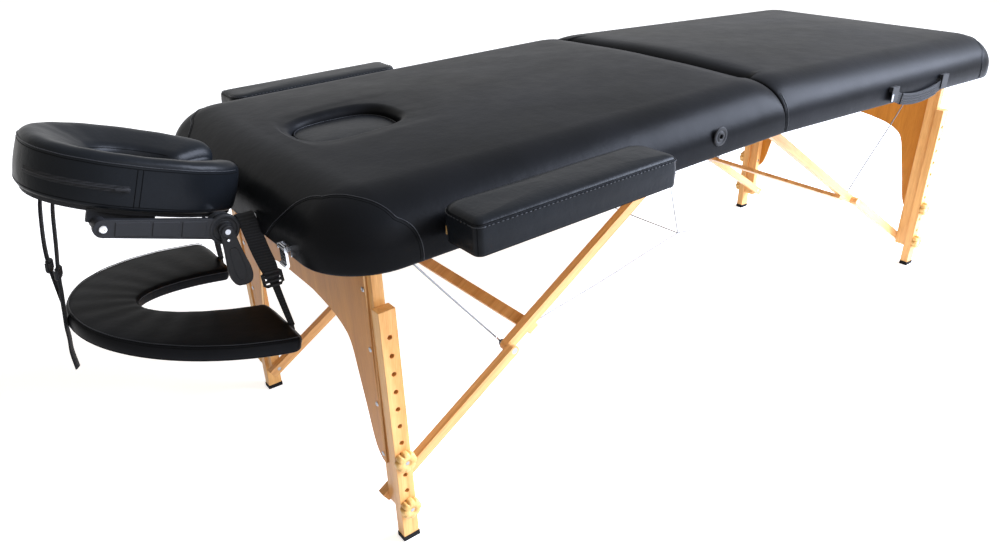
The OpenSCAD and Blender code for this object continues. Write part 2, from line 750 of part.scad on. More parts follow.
module cap(side, y_side) {
    low = floor_w(leg_u) - ext_t * tan(peak_tilt);
    color(black_plastic) difference() {
        at_half(side) on_side(y_side) difference() {
            block([leg_u - ext_t / 2 - cap_wall, ext_y - side_gap / 2, low],
                [leg_u + ext_t / 2 + cap_wall, ext_y + ext_d + cap_wall, leg_end_w + cap_h - cap_base_t]);
            block([leg_u - ext_t / 2, ext_y, leg_end_w],
                [leg_u + ext_t / 2, ext_y + ext_d, leg_end_w + cap_h + cut]);
        }
        translate([-2 * section_l, -section_w, -hinge_z]) cube([4 * section_l, 2 * section_w, hinge_z]);
    }
}

// Lobed clamp knob with its bolt; the lower one also carries the lower brace.
notch_r = 3.4;
module knob(side, y_side, w) {
    color(beech) at_half(side) on_side(y_side) {
        difference() {
            bar_y(leg_u, w, knob_r, knob_seat_y, knob_seat_y + knob_h);
            for (i = [0:knob_notches - 1])
                bar_y(leg_u + knob_r * cos(360 * i / knob_notches), w + knob_r * sin(360 * i / knob_notches),
                    notch_r, knob_seat_y - cut, knob_seat_y + knob_h + cut);
        }
        bar_y(leg_u, w, clamp_bolt_r, w == lower_knob_w ? bolt_end_y : leg_in_y + mm, knob_seat_y + knob_h / 2);
    }
}

// A straight brace from one pivot to another, drawn along its own length.
module brace_bar(from, slope, length, y_from, tail_from, round_from) {
    translate([from[0], 0, from[1]]) rotate([0, slope, 0]) {
        block([-tail_from, y_from, -brace_t / 2], [length, y_from + brace_d, brace_t / 2]);
        bar_y(length, 0, brace_t / 2, y_from, y_from + brace_d);
        if (round_from) bar_y(0, 0, brace_t / 2, y_from, y_from + brace_d);
    }
}

module upper_braces(side) {
    color(beech) at_half(side) difference() {
        union() {
            both_sides() brace_bar([brace_u, brace_w], brace_slope, upper_brace_l, upper_brace_in_y, 0, true);
            translate([elbow_u, 0, elbow_w]) rotate([0, brace_slope, 0])
                block([-crossbar_back - crossbar_l / 2, -upper_brace_y, -brace_t / 2 - crossbar_t],
                    [-crossbar_back + crossbar_l / 2, upper_brace_y, -brace_t / 2]);
        }
        both_sides() {
            bar_y(brace_u, brace_w, brace_pin_r + run_gap, upper_brace_in_y - cut, upper_brace_y + cut);
            bar_y(elbow_u, elbow_w, brace_pin_r + run_gap, upper_brace_in_y - cut, upper_brace_y + cut);
        }
    }
}

module lower_braces(side) {
    color(beech) at_half(side) both_sides() difference() {
        brace_bar([leg_u, lower_knob_w], 180 + brace_slope, lower_brace_l, lower_brace_y - brace_d,
            brace_tail, false);
        bar_y(leg_u, lower_knob_w, clamp_bolt_r + run_gap, lower_brace_y - brace_d - cut, lower_brace_y + cut);
        bar_y(elbow_u, elbow_w, brace_pin_r, lower_brace_y - brace_d - cut, lower_brace_y + cut);
        bar_y(elbow_u, elbow_w, elbow_head_r, lower_brace_y - elbow_head_t, lower_brace_y + cut);
    }
}

elbow_head_r = 6;
elbow_head_t = 3;
module elbow_bolts(side) {
    color(steel) at_half(side) both_sides() {
        bar_y(elbow_u, elbow_w, brace_pin_r, lower_brace_y - brace_d, lower_brace_y - elbow_head_t + mm);
        bar_y(elbow_u, elbow_w, elbow_head_r, lower_brace_y - elbow_head_t, lower_brace_y);
    }
}

// Head rest. Rods slide into the head section; the axle carries the arms and the lever.
rod_in = 62;
lug_t = 13;
arm_t = 10;
arm_h = 28;
axle_r = 5;
tip_pin_r = 4;
lug_y = rod_y - lug_t / 2;
arm_y = rod_y + lug_t / 2 + side_gap;
lever_y = arm_y + arm_t + side_gap;
lever_t = 8;
lever_out = 3;

module cradle_base() {
    color(steel) at_half(HEAD) {
        both_sides() {
            bar_u(section_l - rod_in, hub_u, rod_y, rod_w, rod_r);
            bar_y(hub_u, rod_w, hub_r - 2 * mm, lug_y, rod_y + lug_t / 2);
        }
        bar_y(hub_u, rod_w, axle_r, -lever_y - lever_t - lever_out, arm_y + arm_t + lever_out);
    }
}

module cradle_arms() {
    color(black_plastic) at_half(HEAD) both_sides() difference() {
        translate([hub_u, 0, rod_w]) rotate([0, -arm_slope, 0]) {
            block([0, arm_y, -arm_h / 2], [arm_len, arm_y + arm_t, arm_h / 2]);
            bar_y(0, 0, hub_r, arm_y, arm_y + arm_t);
            bar_y(arm_len, 0, arm_h / 2, arm_y, arm_y + arm_t);
        }
        bar_y(hub_u, rod_w, axle_r + run_gap, arm_y - cut, arm_y + arm_t + cut);
        bar_y(tip_u, tip_w, tip_pin_r + run_gap, arm_y - cut, arm_y + arm_t + cut);
    }
}

// Cam lever on the front end of the axle, hanging beside the hub.
lever_root_w = 24;
lever_tip_w = 32;
lever_wide_share = 0.8;
module cradle_cam_lever() {
    y1 = lever_y + lever_t;
    color(black_plastic) at_half(HEAD) on_side(FRONT) difference() {
        union() {
            bar_y(hub_u, rod_w, lever_root_w / 2, lever_y, y1);
            translate([0, y1, 0]) rotate([90, 0, 0]) linear_extrude(lever_t)
                polygon([for (p = [[lever_root_w / 2, 0], [lever_tip_w / 2, lever_wide_share],
                    [lever_tip_w / 4, 1], [-lever_tip_w / 4, 1], [-lever_tip_w / 2, lever_wide_share],
                    [-lever_root_w / 2, 0]]) [hub_u + p[0], rod_w - lever_l * p[1]]]);
        }
        bar_y(hub_u, rod_w, axle_r + run_gap, lever_y - cut, y1 + cut);
    }
}

// A horseshoe: a soft section carried round between an outer and an inner oval, from one tip to
// the other, and drawn in at the tips.
arc_steps = 20;
tip_shares = [0, 0.08, 0.3, 0.6, 1];
tip_floor = 0.3;
function soft(x, power = soft_power) = sign(x) * pow(abs(x), power);
function tip_scale(s) = max(tip_floor, sqrt(1 - pow(1 - s, 2)));
function oval_at(a, b, angle, power) = [a * soft(cos(angle), power), b * soft(sin(angle), power)];
function soft_section(outer, inner, thick, edge, scale) =
    let (mid = (outer + inner) / 2, reach = (outer - inner) / 2, flat = 1 - edge / norm(reach))
    [for (a = ring_angles)
        let (p = mid + reach * (flat * side_of(a) + (1 - flat) * soft(cos(a))) * (1 + scale) / 2)
        [p[0], p[1], thick / 2 * soft(sin(a)) * scale]];
function side_of(a) = (a + 90) % 180 == 0 ? 0 : sign(cos(a));

module horseshoe(outer, inner, wrap, tip_turn, power, thick, edge) {
    stations = concat(
        [for (t = tip_shares) [tip_turn * t - wrap, tip_scale(t)]],
        [for (i = [1:arc_steps - 1]) [mix(tip_turn - wrap, wrap - tip_turn, i / arc_steps), 1]],
        [for (i = [len(tip_shares) - 1:-1:0]) [wrap - tip_turn * tip_shares[i], tip_scale(tip_shares[i])]]
    );
    ring_solid([for (s = stations) soft_section(oval_at(outer[0], outer[1], s[0], power),
        oval_at(inner[0], inner[1], s[0], power), thick, edge, s[1])]);
}

// The pad's frame: its underside, tilted, with u from the pad's middle.
module at_pad() {
    at_half(HEAD) translate([pad_mid_u, 0, pad_base_w]) rotate([0, -pad_tilt, 0]) children();
}

pad_wrap = 158;
pad_tip_turn = 20;
pad_power = 0.85;
module cradle_pad() {
    color(vinyl) at_pad() translate([0, 0, pad_t / 2])
        horseshoe([pad_l / 2, pad_w / 2], [pad_l / 2 - pad_back, pad_hole_w / 2], pad_wrap, pad_tip_turn,
            pad_power, pad_t, pad_edge);
}

// Platform under the pad, with a lug on each outer pivot.
platform_in = 8;
platform_gap = 0.3;
platform_steps = 44;
platform_wrap = 150;
lug_l = 70;
module cradle_platform() {
    lug_out = pad_w / 2 - 2 * platform_in;
    arc = [for (i = [0:platform_steps]) mix(-platform_wrap, platform_wrap, i / platform_steps)];
    color(black_plastic) {
        at_pad() translate([0, 0, -platform_t - platform_gap]) linear_extrude(platform_t) polygon(concat(
            [for (a = arc) oval_at(pad_l / 2 - platform_in, pad_w / 2 - platform_in, a, pad_power)],
            [for (i = [platform_steps:-1:0])
                oval_at(pad_l / 2 - pad_back + platform_in, pad_hole_w / 2 + platform_in, arc[i], pad_power)]));
        at_half(HEAD) both_sides() {
            translate([tip_u, 0, tip_w]) rotate([0, -pad_tilt, 0])
                block([-lug_l, lug_out - lug_t / 2, 0], [arm_h / 2, lug_out, platform_drop]);
            bar_y(tip_u, tip_w, arm_h / 3, lug_out - lug_t / 2, arm_y - side_gap);
            bar_y(tip_u, tip_w, tip_pin_r, lug_out, arm_y + arm_t + side_gap);
        }
    }
}

// Distance from the outer pivots up to the middle of the platform, square to the platform.
platform_drop = (pad_base_w - tip_w) * cos(pad_tilt) + (tip_u - pad_mid_u) * sin(pad_tilt) - platform_t / 2;

// Arm shelf below the head rest: half ovals with square-cut tips towards the table.
shelf_tip_turn = 5;
shelf_edge = 10;
module at_shelf() {
    translate([place_x - shelf_out, 0, shelf_z]) mirror([1, 0, 0]) rotate([0, -shelf_pitch, 0])
        translate([-shelf_l / 2, 0, -shelf_t / 2]) children();
}

module arm_shelf() {
    color(vinyl) at_shelf() horseshoe([shelf_l, shelf_w / 2], [shelf_l - shelf_back, shelf_hole_w / 2], 90,
        shelf_tip_turn, 1, shelf_t, shelf_edge);
}

// Webbing straps through these points, each with its width along x and along y. The inner pair
// hangs from the rods, the outer pair runs under the platform and on past the shelf's outer edge.
strap_edge = strap_w / 5;
outer_strap_w = strap_w / 2;
strap_tail = 83;
rod_z = hinge_z - (section_l + strap_w / 2) * sin(peak_tilt) + rod_w - rod_r;
inner_strap = [
    [-section_l - strap_w / 2 - strap_t, rod_y, rod_z - side_gap, strap_w, strap_t],
    [-section_l + strap_w / 6, rod_y + strap_w, shelf_z + 2 * strap_w, strap_w, strap_t],
    [-shelf_out + shelf_l / 2 + strap_t, rod_y + 2 * strap_w, shelf_z - 2 * strap_w, strap_edge, strap_t]
];
shelf_end_x = -shelf_out - shelf_l / 2 - strap_t;
outer_top_z = hinge_z + pad_base_w;
outer_strap = [
    [shelf_end_x + strap_w, outer_strap_w, outer_top_z - strap_w, strap_t, outer_strap_w],
    [shelf_end_x + strap_w / 3, outer_strap_w / 2, shelf_z + 4 * strap_w, strap_t, outer_strap_w],
    [shelf_end_x, 0, shelf_z + strap_w, strap_t, outer_strap_w],
    [shelf_end_x - strap_w / 4, 0, shelf_z - strap_tail, strap_t, outer_strap_w]
];
module ribbon(points) {
    ring_solid([for (p = points) [for (c = [[-1, -1], [-1, 1], [1, 1], [1, -1]])
        [p[0] + c[0] * p[3] / 2, p[1] + c[1] * p[4] / 2, p[2]]]]);
}

module shelf_straps() {
    color(webbing) translate([place_x, 0, 0]) {
        both_sides() ribbon(inner_strap);
        ribbon(outer_strap);
        mirror([0, 1, 0]) ribbon([outer_strap[0], outer_strap[1]]);
    }
}

function grown(points) = [for (p = points)
    [p[0], p[1], p[2], p[3] + 2 * side_gap, p[4] + 2 * side_gap]];
module strap_buckles() {
    color(black_plastic) translate([place_x, 0, 0]) difference() {
        both_sides() {
            buckle(inner_strap[1], strap_w / 2);
            buckle(outer_strap[1], outer_strap_w / 2);
        }
        both_sides() {
            ribbon(grown(inner_strap));
            ribbon(grown(outer_strap));
        }
    }
}

module buckle(at, half) {
    block([at[0] - at[3] / 2 - strap_t, at[1] - at[4] / 2 - strap_t, at[2] - half],
        [at[0] + at[3] / 2 + strap_t, at[1] + at[4] / 2 + strap_t, at[2] + half]);
}

// Support cables, straight from knot to knot; each knot is a small sleeve over the cables' ends.
module support_cables() {
    color(steel) translate([place_x, 0, 0]) {
        for (c = cable_runs) let (run = c[1] - c[0], along = run / norm(run))
            wire(c[0] + c[2] * along, c[1] - c[3] * along, cable_r);
        for (y = [-1, 1]) {
            knot([ring_x, y * ring_y, ring_z], knot_r);
            for (side = [HEAD, FOOT]) knot(in_world(side, elbow_u, y * cable_y, elbow_w), eye_r);
        }
    }
}

module knot(at, half) {
    translate(at) cube(2 * half, center = true);
}

// The net's ring, where the cables of one side meet, and the cables' upper ends under the deck.
ring_x = -8;
ring_y = 131;
ring_z = 272;
ring_tie_x = -107;
ring_tie_w = frame_h - 2 * mm;
knot_r = 5;
eye_r = 3.5;
cable_y = upper_brace_in_y - side_gap - 2 * eye_r;
cable_top_u = 833;
cable_top_y = 225;
function in_world(side, u, y, w) = [side * (u * cos(peak_tilt) + w * sin(peak_tilt)), y,
    hinge_z - u * sin(peak_tilt) + w * cos(peak_tilt)];
knot_in = knot_r - cable_r / 2;
eye_in = eye_r - cable_r / 2;
cable_runs = concat([for (y = [-1, 1]) let (ring = [ring_x, y * ring_y, ring_z]) each [
    [in_world(HEAD, elbow_u, y * cable_y, elbow_w), ring, eye_in, knot_in],
    [in_world(FOOT, elbow_u, y * cable_y, elbow_w), ring, eye_in, knot_in],
    [ring, in_world(HEAD, -ring_tie_x, y * ring_y, ring_tie_w), knot_in, 0],
    [in_world(HEAD, elbow_u, y * cable_y, elbow_w),
        in_world(HEAD, cable_top_u, y * cable_top_y, ring_tie_w), eye_in, 0],
    [in_world(FOOT, elbow_u, y * cable_y, elbow_w),
        in_world(FOOT, cable_top_u, y * cable_top_y, ring_tie_w), eye_in, 0]
]], [[[ring_x, -ring_y, ring_z], [ring_x, ring_y, ring_z], knot_in, knot_in]]);

frame(HEAD);  // head_frame
deck(HEAD);  // head_deck
cushion(HEAD);  // head_cushion
hinge_leaves(HEAD);  // head_hinge_leaves
leg_bolts(HEAD);  // head_leg_bolts
brace_brackets(HEAD);  // head_brace_brackets
side_grommets();
latch_plates();
latch_hook(FRONT);  // latch_hook_front
latch_hook(REAR);  // latch_hook_rear
centre_hinge_pins();
frame(FOOT);  // foot_frame
deck(FOOT);  // foot_deck
cushion(FOOT);  // foot_cushion
hinge_leaves(FOOT);  // foot_hinge_leaves
leg_bolts(FOOT);  // foot_leg_bolts
brace_brackets(FOOT);  // foot_brace_brackets
latch_strikes();
handle_strap();
handle_fittings();
armrest_base(FRONT);  // armrest_front_base
armrest_pad(FRONT);  // armrest_front_pad
armrest_base(REAR);  // armrest_rear_base
armrest_pad(REAR);  // armrest_rear_pad
face_plug();
cradle_base();
cradle_arms();
cradle_cam_lever();
cradle_platform();
cradle_pad();
arm_shelf();
shelf_straps();
strap_buckles();
support_cables();
panel(HEAD);  // head_panel
leg_frame(HEAD);  // head_leg_frame
extension(HEAD, FRONT);  // head_extension_front
extension(HEAD, REAR);  // head_extension_rear
cap(HEAD, FRONT);  // head_cap_front
cap(HEAD, REAR);  // head_cap_rear
knob(HEAD, FRONT, upper_knob_w);  // head_knob_front_upper
knob(HEAD, FRONT, lower_knob_w);  // head_knob_front_lower
knob(HEAD, REAR, upper_knob_w);  // head_knob_rear_upper
knob(HEAD, REAR, lower_knob_w);  // head_knob_rear_lower
upper_braces(HEAD);  // head_upper_braces
lower_braces(HEAD);  // head_lower_braces
elbow_bolts(HEAD);  // head_elbow_bolts
panel(FOOT);  // foot_panel
leg_frame(FOOT);  // foot_leg_frame
extension(FOOT, FRONT);  // foot_extension_front
extension(FOOT, REAR);  // foot_extension_rear
cap(FOOT, FRONT);  // foot_cap_front
cap(FOOT, REAR);  // foot_cap_rear
knob(FOOT, FRONT, upper_knob_w);  // foot_knob_front_upper
knob(FOOT, FRONT, lower_knob_w);  // foot_knob_front_lower
knob(FOOT, REAR, upper_knob_w);  // foot_knob_rear_upper
knob(FOOT, REAR, lower_knob_w);  // foot_knob_rear_lower
upper_braces(FOOT);  // foot_upper_braces
lower_braces(FOOT);  // foot_lower_braces
elbow_bolts(FOOT);  // foot_elbow_bolts
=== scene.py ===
"""Dresses the folding massage table: covers, pads, straps, woodwork and small hardware."""
from __future__ import annotations

import logging
import math
from collections.abc import Callable, Sequence
from dataclasses import dataclass, field
from enum import Enum

import bpy
import numpy as np
from mathutils import Matrix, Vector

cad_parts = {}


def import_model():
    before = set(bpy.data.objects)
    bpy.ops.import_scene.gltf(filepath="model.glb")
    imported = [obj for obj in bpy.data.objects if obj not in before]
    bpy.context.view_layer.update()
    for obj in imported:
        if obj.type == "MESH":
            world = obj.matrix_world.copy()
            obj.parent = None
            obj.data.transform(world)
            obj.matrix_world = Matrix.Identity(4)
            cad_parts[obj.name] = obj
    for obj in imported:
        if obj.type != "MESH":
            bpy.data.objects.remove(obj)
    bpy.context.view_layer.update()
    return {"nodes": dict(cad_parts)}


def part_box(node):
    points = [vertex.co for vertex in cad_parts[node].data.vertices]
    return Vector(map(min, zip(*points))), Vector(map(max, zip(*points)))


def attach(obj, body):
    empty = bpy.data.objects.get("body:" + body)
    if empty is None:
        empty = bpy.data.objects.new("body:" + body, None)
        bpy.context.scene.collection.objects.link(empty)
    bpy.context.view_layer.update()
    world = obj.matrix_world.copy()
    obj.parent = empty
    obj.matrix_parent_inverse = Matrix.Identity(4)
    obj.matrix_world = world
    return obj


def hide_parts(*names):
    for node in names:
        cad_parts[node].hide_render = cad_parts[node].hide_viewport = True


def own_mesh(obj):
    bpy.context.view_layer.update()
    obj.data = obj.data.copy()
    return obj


LOG = logging.getLogger("massage_table")
Array = np.ndarray
Piece = bpy.types.Object
Material = bpy.types.Material
Socket = bpy.types.NodeSocket
Seam = tuple[Array, Array]
Pairs = tuple[tuple[float, float], ...]
MM = 0.001
FULL_TURN = 2 * math.pi
TILT = math.radians(1.44)
HINGE_Z = 548.0
BRACE_SLOPE = math.radians(32.8)
ELBOW_U, ELBOW_W = 560.903, -297.558
FACE_U, FACE_POWER = 714.0, 0.72
PANEL_U = 833.0
SHELF_OUT, SHELF_LENGTH, SHELF_Z = 1046.4, 265.0, 411.0
SEAM_BEAD = 0.0007
WAVE_RATE = 20
NO_CREASE, STRAP_CREASE = 180.0, 60.0
END_POINTS, SIDE_POINTS, CORNER_POINTS = 36, 56, 22


class End(Enum):
    """The two halves of the table."""

    HEAD = -1
    FOOT = 1


class Side(Enum):
    """The two long sides of the table."""

    FRONT = -1
    REAR = 1

    @property
    def out(self) -> Array:
        """Direction from the middle of the table to this side."""
        return np.array([0.0, float(self.value), 0.0])


class Grain(Enum):
    """Which way the wood grain runs, as the turn that brings it onto the pattern's own X axis."""

    ALONG_X = (0.0, 0.0, 0.0)
    ALONG_Y = (0.0, 0.0, -math.pi / 2)
    ALONG_Z = (0.0, math.pi / 2, 0.0)
    BRACE_HEAD = (0.0, -BRACE_SLOPE, 0.0)
    BRACE_FOOT = (0.0, BRACE_SLOPE, 0.0)


def linear(hex_colour: str) -> tuple[float, float, float, float]:
    """Turns an sRGB hex colour into the linear values that a shader takes.

    Args:
        hex_colour: Six hex digits, red first.

    Returns:
        Linear red, green, blue and an alpha of 1.
    """
    parts = [int(hex_colour[i:i + 2], 16) / 255 for i in (0, 2, 4)]
    out = [c / 12.92 if c <= 0.04045 else ((c + 0.055) / 1.055) ** 2.4 for c in parts]
    return (out[0], out[1], out[2], 1.0)


def add_node(tree: bpy.types.NodeTree, kind: str, settings: dict | None = None,
             links: dict | None = None) -> bpy.types.Node:
    """Adds one node with its settings and links.

    Args:
        tree: The node tree that takes the node.
        kind: Blender's name of the node type.
        settings: Values for the node's own options or its input sockets.
        links: Output sockets to join to the named input sockets.

    Returns:
        The new node.
    """
    node = tree.nodes.new(kind)
    for key, value in (settings or {}).items():
        if isinstance(key, str) and hasattr(node, key) and key not in node.inputs:
            setattr(node, key, value)
        else:
            node.inputs[key].default_value = value
    for key, socket in (links or {}).items():
        tree.links.new(socket, node.inputs[key])
    return node


class Graph:
    """One material's node tree, with the patterns that the finishes share."""

    def __init__(self, name: str) -> None:
        """Starts an empty material whose patterns lie in the piece's own metres."""
        self.material = bpy.data.materials.new(name)
        self.material.use_nodes = True
        self.tree = self.material.node_tree
        self.tree.nodes.clear()
        self.place = add_node(self.tree, "ShaderNodeTexCoord").outputs["Object"]

    def noise(self, scale: float, detail: float, at: Socket | None = None, **more: float) -> Socket:
        """Adds a noise of so many cells to the metre."""
        return add_node(self.tree, "ShaderNodeTexNoise", {"Scale": scale, "Detail": detail} | more,
                        {"Vector": self.place if at is None else at}).outputs["Fac"]

    def bands(self, axis: str, stripe_mm: float, more: dict) -> Socket:
        """Adds straight stripes across an axis, the light and the dark each of the given width."""
        scale = 1000 / stripe_mm / WAVE_RATE * math.pi
        return add_node(self.tree, "ShaderNodeTexWave",
                        {"wave_type": "BANDS", "bands_direction": axis, "Scale": scale} | more,
                        {"Vector": self.place}).outputs["Fac"]

    def mix(self, share: Socket, low: str, high: str) -> Socket:
        """Goes from one sRGB colour to the other with a pattern."""
        return add_node(self.tree, "ShaderNodeMix", {"data_type": "RGBA", 6: linear(low), 7: linear(high)},
                        {0: share}).outputs[2]

    def ramp(self, share: Socket, low: str, high: str, start: float, stop: float) -> Socket:
        """Goes from one sRGB colour to the other between two values of a pattern."""
        node = add_node(self.tree, "ShaderNodeValToRGB", links={"Fac": share})
        for element, at, colour in zip(node.color_ramp.elements, (start, stop), (low, high)):
            element.position, element.color = at, linear(colour)
        return node.outputs["Color"]

    def uneven(self, share: Socket, roughness: float, less: float, more: float) -> Socket:
        """Spreads a roughness a little with a pattern."""
        return add_node(self.tree, "ShaderNodeMapRange", {"To Min": roughness - less, "To Max": roughness + more},
                        {"Value": share}).outputs["Result"]

    def arris(self, radius_mm: float) -> Socket:
        """Rounds sharp edges to the eye."""
        return add_node(self.tree, "ShaderNodeBevel", {"samples": 4, "Radius": radius_mm * MM}).outputs["Normal"]

    def bump(self, height: Socket, strength: float, depth_mm: float, under: Socket | None = None) -> Socket:
        """Raises the surface with a pattern, over another normal when one is given."""
        return add_node(self.tree, "ShaderNodeBump", {"Strength": strength, "Distance": depth_mm * MM},
                        {"Height": height} | ({} if under is None else {"Normal": under})).outputs["Normal"]

    def surface(self, settings: dict, links: dict) -> Material:
        """Adds the shader, joins it to the output and gives the finished material."""
        shader = add_node(self.tree, "ShaderNodeBsdfPrincipled", settings, links)
        return self.finish(shader)

    def finish(self, shader: bpy.types.Node) -> Material:
        """Joins a shader to the output."""
        add_node(self.tree, "ShaderNodeOutputMaterial", links={"Surface": shader.outputs[0]})
        return self.material


@dataclass(frozen=True)
class SyntheticLeather:
    """Polyurethane leather, embossed and calendered: a fine pebbled grain under a satin sheen."""

    name: str = "synthetic_leather"
    base: str = "101113"
    worn: str = "17181b"
    roughness: float = 0.37
    index: float = 1.11
    grain_mm: float = 2.4
    grain_depth: float = 0.05
    crease_depth: float = 0.5

    def build(self) -> Material:
        """Makes the leather: pebble grain, soft creases and a slightly uneven gloss."""
        graph = Graph(self.name)
        pebble = add_node(graph.tree, "ShaderNodeTexVoronoi", {"Scale": 1000 / self.grain_mm},
                          {"Vector": graph.place})
        crease = graph.noise(26.0, 5.0, Roughness=0.62)
        soft = graph.bump(crease, self.crease_depth, 1.2)
        return graph.surface({"IOR": self.index}, {
            "Base Color": graph.ramp(graph.noise(5.0, 3.0), self.base, self.worn, 0.35, 0.72),
            "Roughness": graph.uneven(crease, self.roughness, 0.05, 0.06),
            "Normal": graph.bump(pebble.outputs["Distance"], self.grain_depth, 0.4, soft)})


@dataclass(frozen=True)
class VarnishedWood:
    """Sawn wood, sanded and varnished: long pores along the grain, soft broad figure, satin coat."""

    name: str = "varnished_beech"
    pale: str = "eebb78"
    dark: str = "cd9150"
    grain: Grain = Grain.ALONG_Z
    figure_mm: float = 18.0
    pore_mm: float = 1.6
    roughness: float = 0.36
    contrast: float = 0.5
    stretch: float = 0.06

    def build(self) -> Material:
        """Makes the wood: figure and pores stretched along the grain, rounded arrises, satin varnish."""
        graph = Graph(self.name)
        turned = add_node(graph.tree, "ShaderNodeMapping", {"vector_type": "TEXTURE", "Rotation": self.grain.value},
                          {"Vector": graph.place})
        grain = add_node(graph.tree, "ShaderNodeMapping", {"Scale": (self.stretch, 1.0, 1.0)},
                         {"Vector": turned.outputs["Vector"]}).outputs["Vector"]
        figure = graph.noise(1000 / self.figure_mm, 4.0, grain, Distortion=0.8)
        pores = graph.noise(1000 / self.pore_mm, 2.0, grain)
        blend = add_node(graph.tree, "ShaderNodeMix", {"data_type": "FLOAT", 0: 0.32}, {2: figure, 3: pores})
        tone = graph.ramp(blend.outputs[0], self.dark, self.pale, 0.5 - self.contrast / 2.6, 0.5 + self.contrast / 4)
        return graph.surface(
            {"Roughness": self.roughness, "IOR": 1.3, "Coat Weight": 0.05, "Coat Roughness": 0.22},
            {"Base Color": tone, "Normal": graph.bump(pores, 0.12, 0.3, graph.arris(1.6))})


@dataclass(frozen=True)
class Metal:
    """Plated steel, drawn or rolled: bright, faintly clouded, with fine rubbed lines."""

    name: str = "plated_steel"
    colour: str = "a3a5a9"
    roughness: float = 0.3
    line_mm: float = 0.9

    def build(self) -> Material:
        """Makes the metal with a cloudy roughness and faint rubbed lines."""
        graph = Graph(self.name)
        return graph.surface({"Metallic": 1.0, "Base Color": linear(self.colour)}, {
            "Roughness": graph.uneven(graph.noise(140.0, 3.0), self.roughness, 0.06, 0.12),
            "Normal": graph.bump(graph.noise(1000 / self.line_mm, 1.0), 0.08, 0.2)})


@dataclass(frozen=True)
class MouldedPlastic:
    """Injection-moulded plastic or rubber: a fine spark-eroded texture that scatters the light."""

    name: str = "moulded_nylon"
    colour: str = "1b1c1e"
    worn: str = "26272a"
    roughness: float = 0.46
    texture_mm: float = 1.1
    index: float = 1.24

    def build(self) -> Material:
        """Makes the plastic with a fine mould texture and slight tone changes."""
        graph = Graph(self.name)
        cloud = graph.noise(30.0, 3.0)
        return graph.surface({"IOR": self.index}, {
            "Base Color": graph.mix(cloud, self.colour, self.worn),
            "Roughness": graph.uneven(cloud, self.roughness, 0.06, 0.08),
            "Normal": graph.bump(graph.noise(1000 / self.texture_mm, 2.0), 0.15, 0.3, graph.arris(0.9))})


@dataclass(frozen=True)
class Webbing:
    """Woven polypropylene webbing: ribs of warp threads that catch small glints."""

    name: str = "woven_webbing"
    colour: str = "141517"
    # raised: lighter colour of the high rib tops, a painted highlight of the light they catch
    raised: str = "2a2b2e"
    rib_mm: float = 2.2

    def build(self) -> Material:
        """Makes the webbing as ribs broken up by a fine noise of threads, the raised rib tops painted lighter as
        painted highlight.
        """
        graph = Graph(self.name)
        ribs = graph.bands("Z", self.rib_mm, {"Distortion": 1.2, "Detail": 1.0})
        weave = add_node(graph.tree, "ShaderNodeMath", {"operation": "MULTIPLY"},
                         {0: ribs, 1: graph.noise(700.0, 2.0)}).outputs[0]
        return graph.surface({"Roughness": 0.62, "IOR": 1.2, "Sheen Weight": 0.05}, {
            "Base Color": graph.mix(weave, self.colour, self.raised), "Normal": graph.bump(weave, 0.5, 0.5)})


@dataclass(frozen=True)
class PlyEdge:
    """Sawn plywood edge: thin light and dark veneers one on the other."""

    name: str = "ply_edge"
    pale: str = "e9c694"
    dark: str = "a8743c"
    veneer_mm: float = 1.7

    def build(self) -> Material:
        """Makes the striped edge, its bands two veneers wide and along the panel's own face."""
        graph = Graph(self.name)
        veneers = graph.bands("X", 2 * self.veneer_mm, {"Distortion": 0.4, "Detail Scale": 3.0})
        return graph.surface({"Roughness": 0.55, "Specular IOR Level": 0.3},
                             {"Base Color": graph.mix(veneers, self.dark, self.pale)})


Finish = SyntheticLeather | VarnishedWood | Metal | MouldedPlastic | Webbing | PlyEdge


def built(finish: Finish) -> Material:
    """Field of a palette that makes its finish when the palette is made."""
    return field(default_factory=finish.build)


@dataclass
class Palette:
    """All the finishes of the table, each made once."""

    leather: Material = built(SyntheticLeather())
    pad_leather: Material = built(SyntheticLeather(
        "synthetic_leather_pad", "0f1114", "16191d", roughness=0.33, index=1.17, crease_depth=0.9))
    # thread colour: the thread's own dark colour, set a little lighter than the leather as painted highlight of the
    # stitch rows
    thread: Material = built(MouldedPlastic("polyester_thread", "1f2125", "2a2c31", 0.4, 0.6, 1.3))
    seam: Material = built(MouldedPlastic("seam_shadow", "08090a", "0d0e10", 0.6, index=1.1))
    beech: Material = built(VarnishedWood())
    beech_head: Material = built(VarnishedWood("varnished_beech_head_brace", "eebd7f", "cb8f56", Grain.BRACE_HEAD))
    beech_foot: Material = built(VarnishedWood("varnished_beech_foot_brace", "eebd7f", "cb8f56", Grain.BRACE_FOOT))
    knob: Material = built(VarnishedWood("turned_beech", "ecc581", "d3a25c", Grain.ALONG_Y))
    ply: Material = built(VarnishedWood("stained_plywood", "cf8c35", "a86820", figure_mm=30.0, contrast=0.7))
    board: Material = built(VarnishedWood("plain_plywood", "c9a36c", "a27c48", Grain.ALONG_X, roughness=0.6))
    rail: Material = built(VarnishedWood("plain_rail", "d8b07a", "b08450", Grain.ALONG_X, roughness=0.55))
    ply_edge: Material = built(PlyEdge())
    steel: Material = built(Metal())
    chrome: Material = built(Metal("bright_chrome", "c4c5c8", 0.16))
    cable: Material = built(Metal("stranded_cable", "7d7f84", 0.42, 2.0))
    plastic: Material = built(MouldedPlastic())
    rubber: Material = built(MouldedPlastic("moulded_rubber", "131314", "1c1c1e", 0.68, index=1.2))
    webbing: Material = built(Webbing())


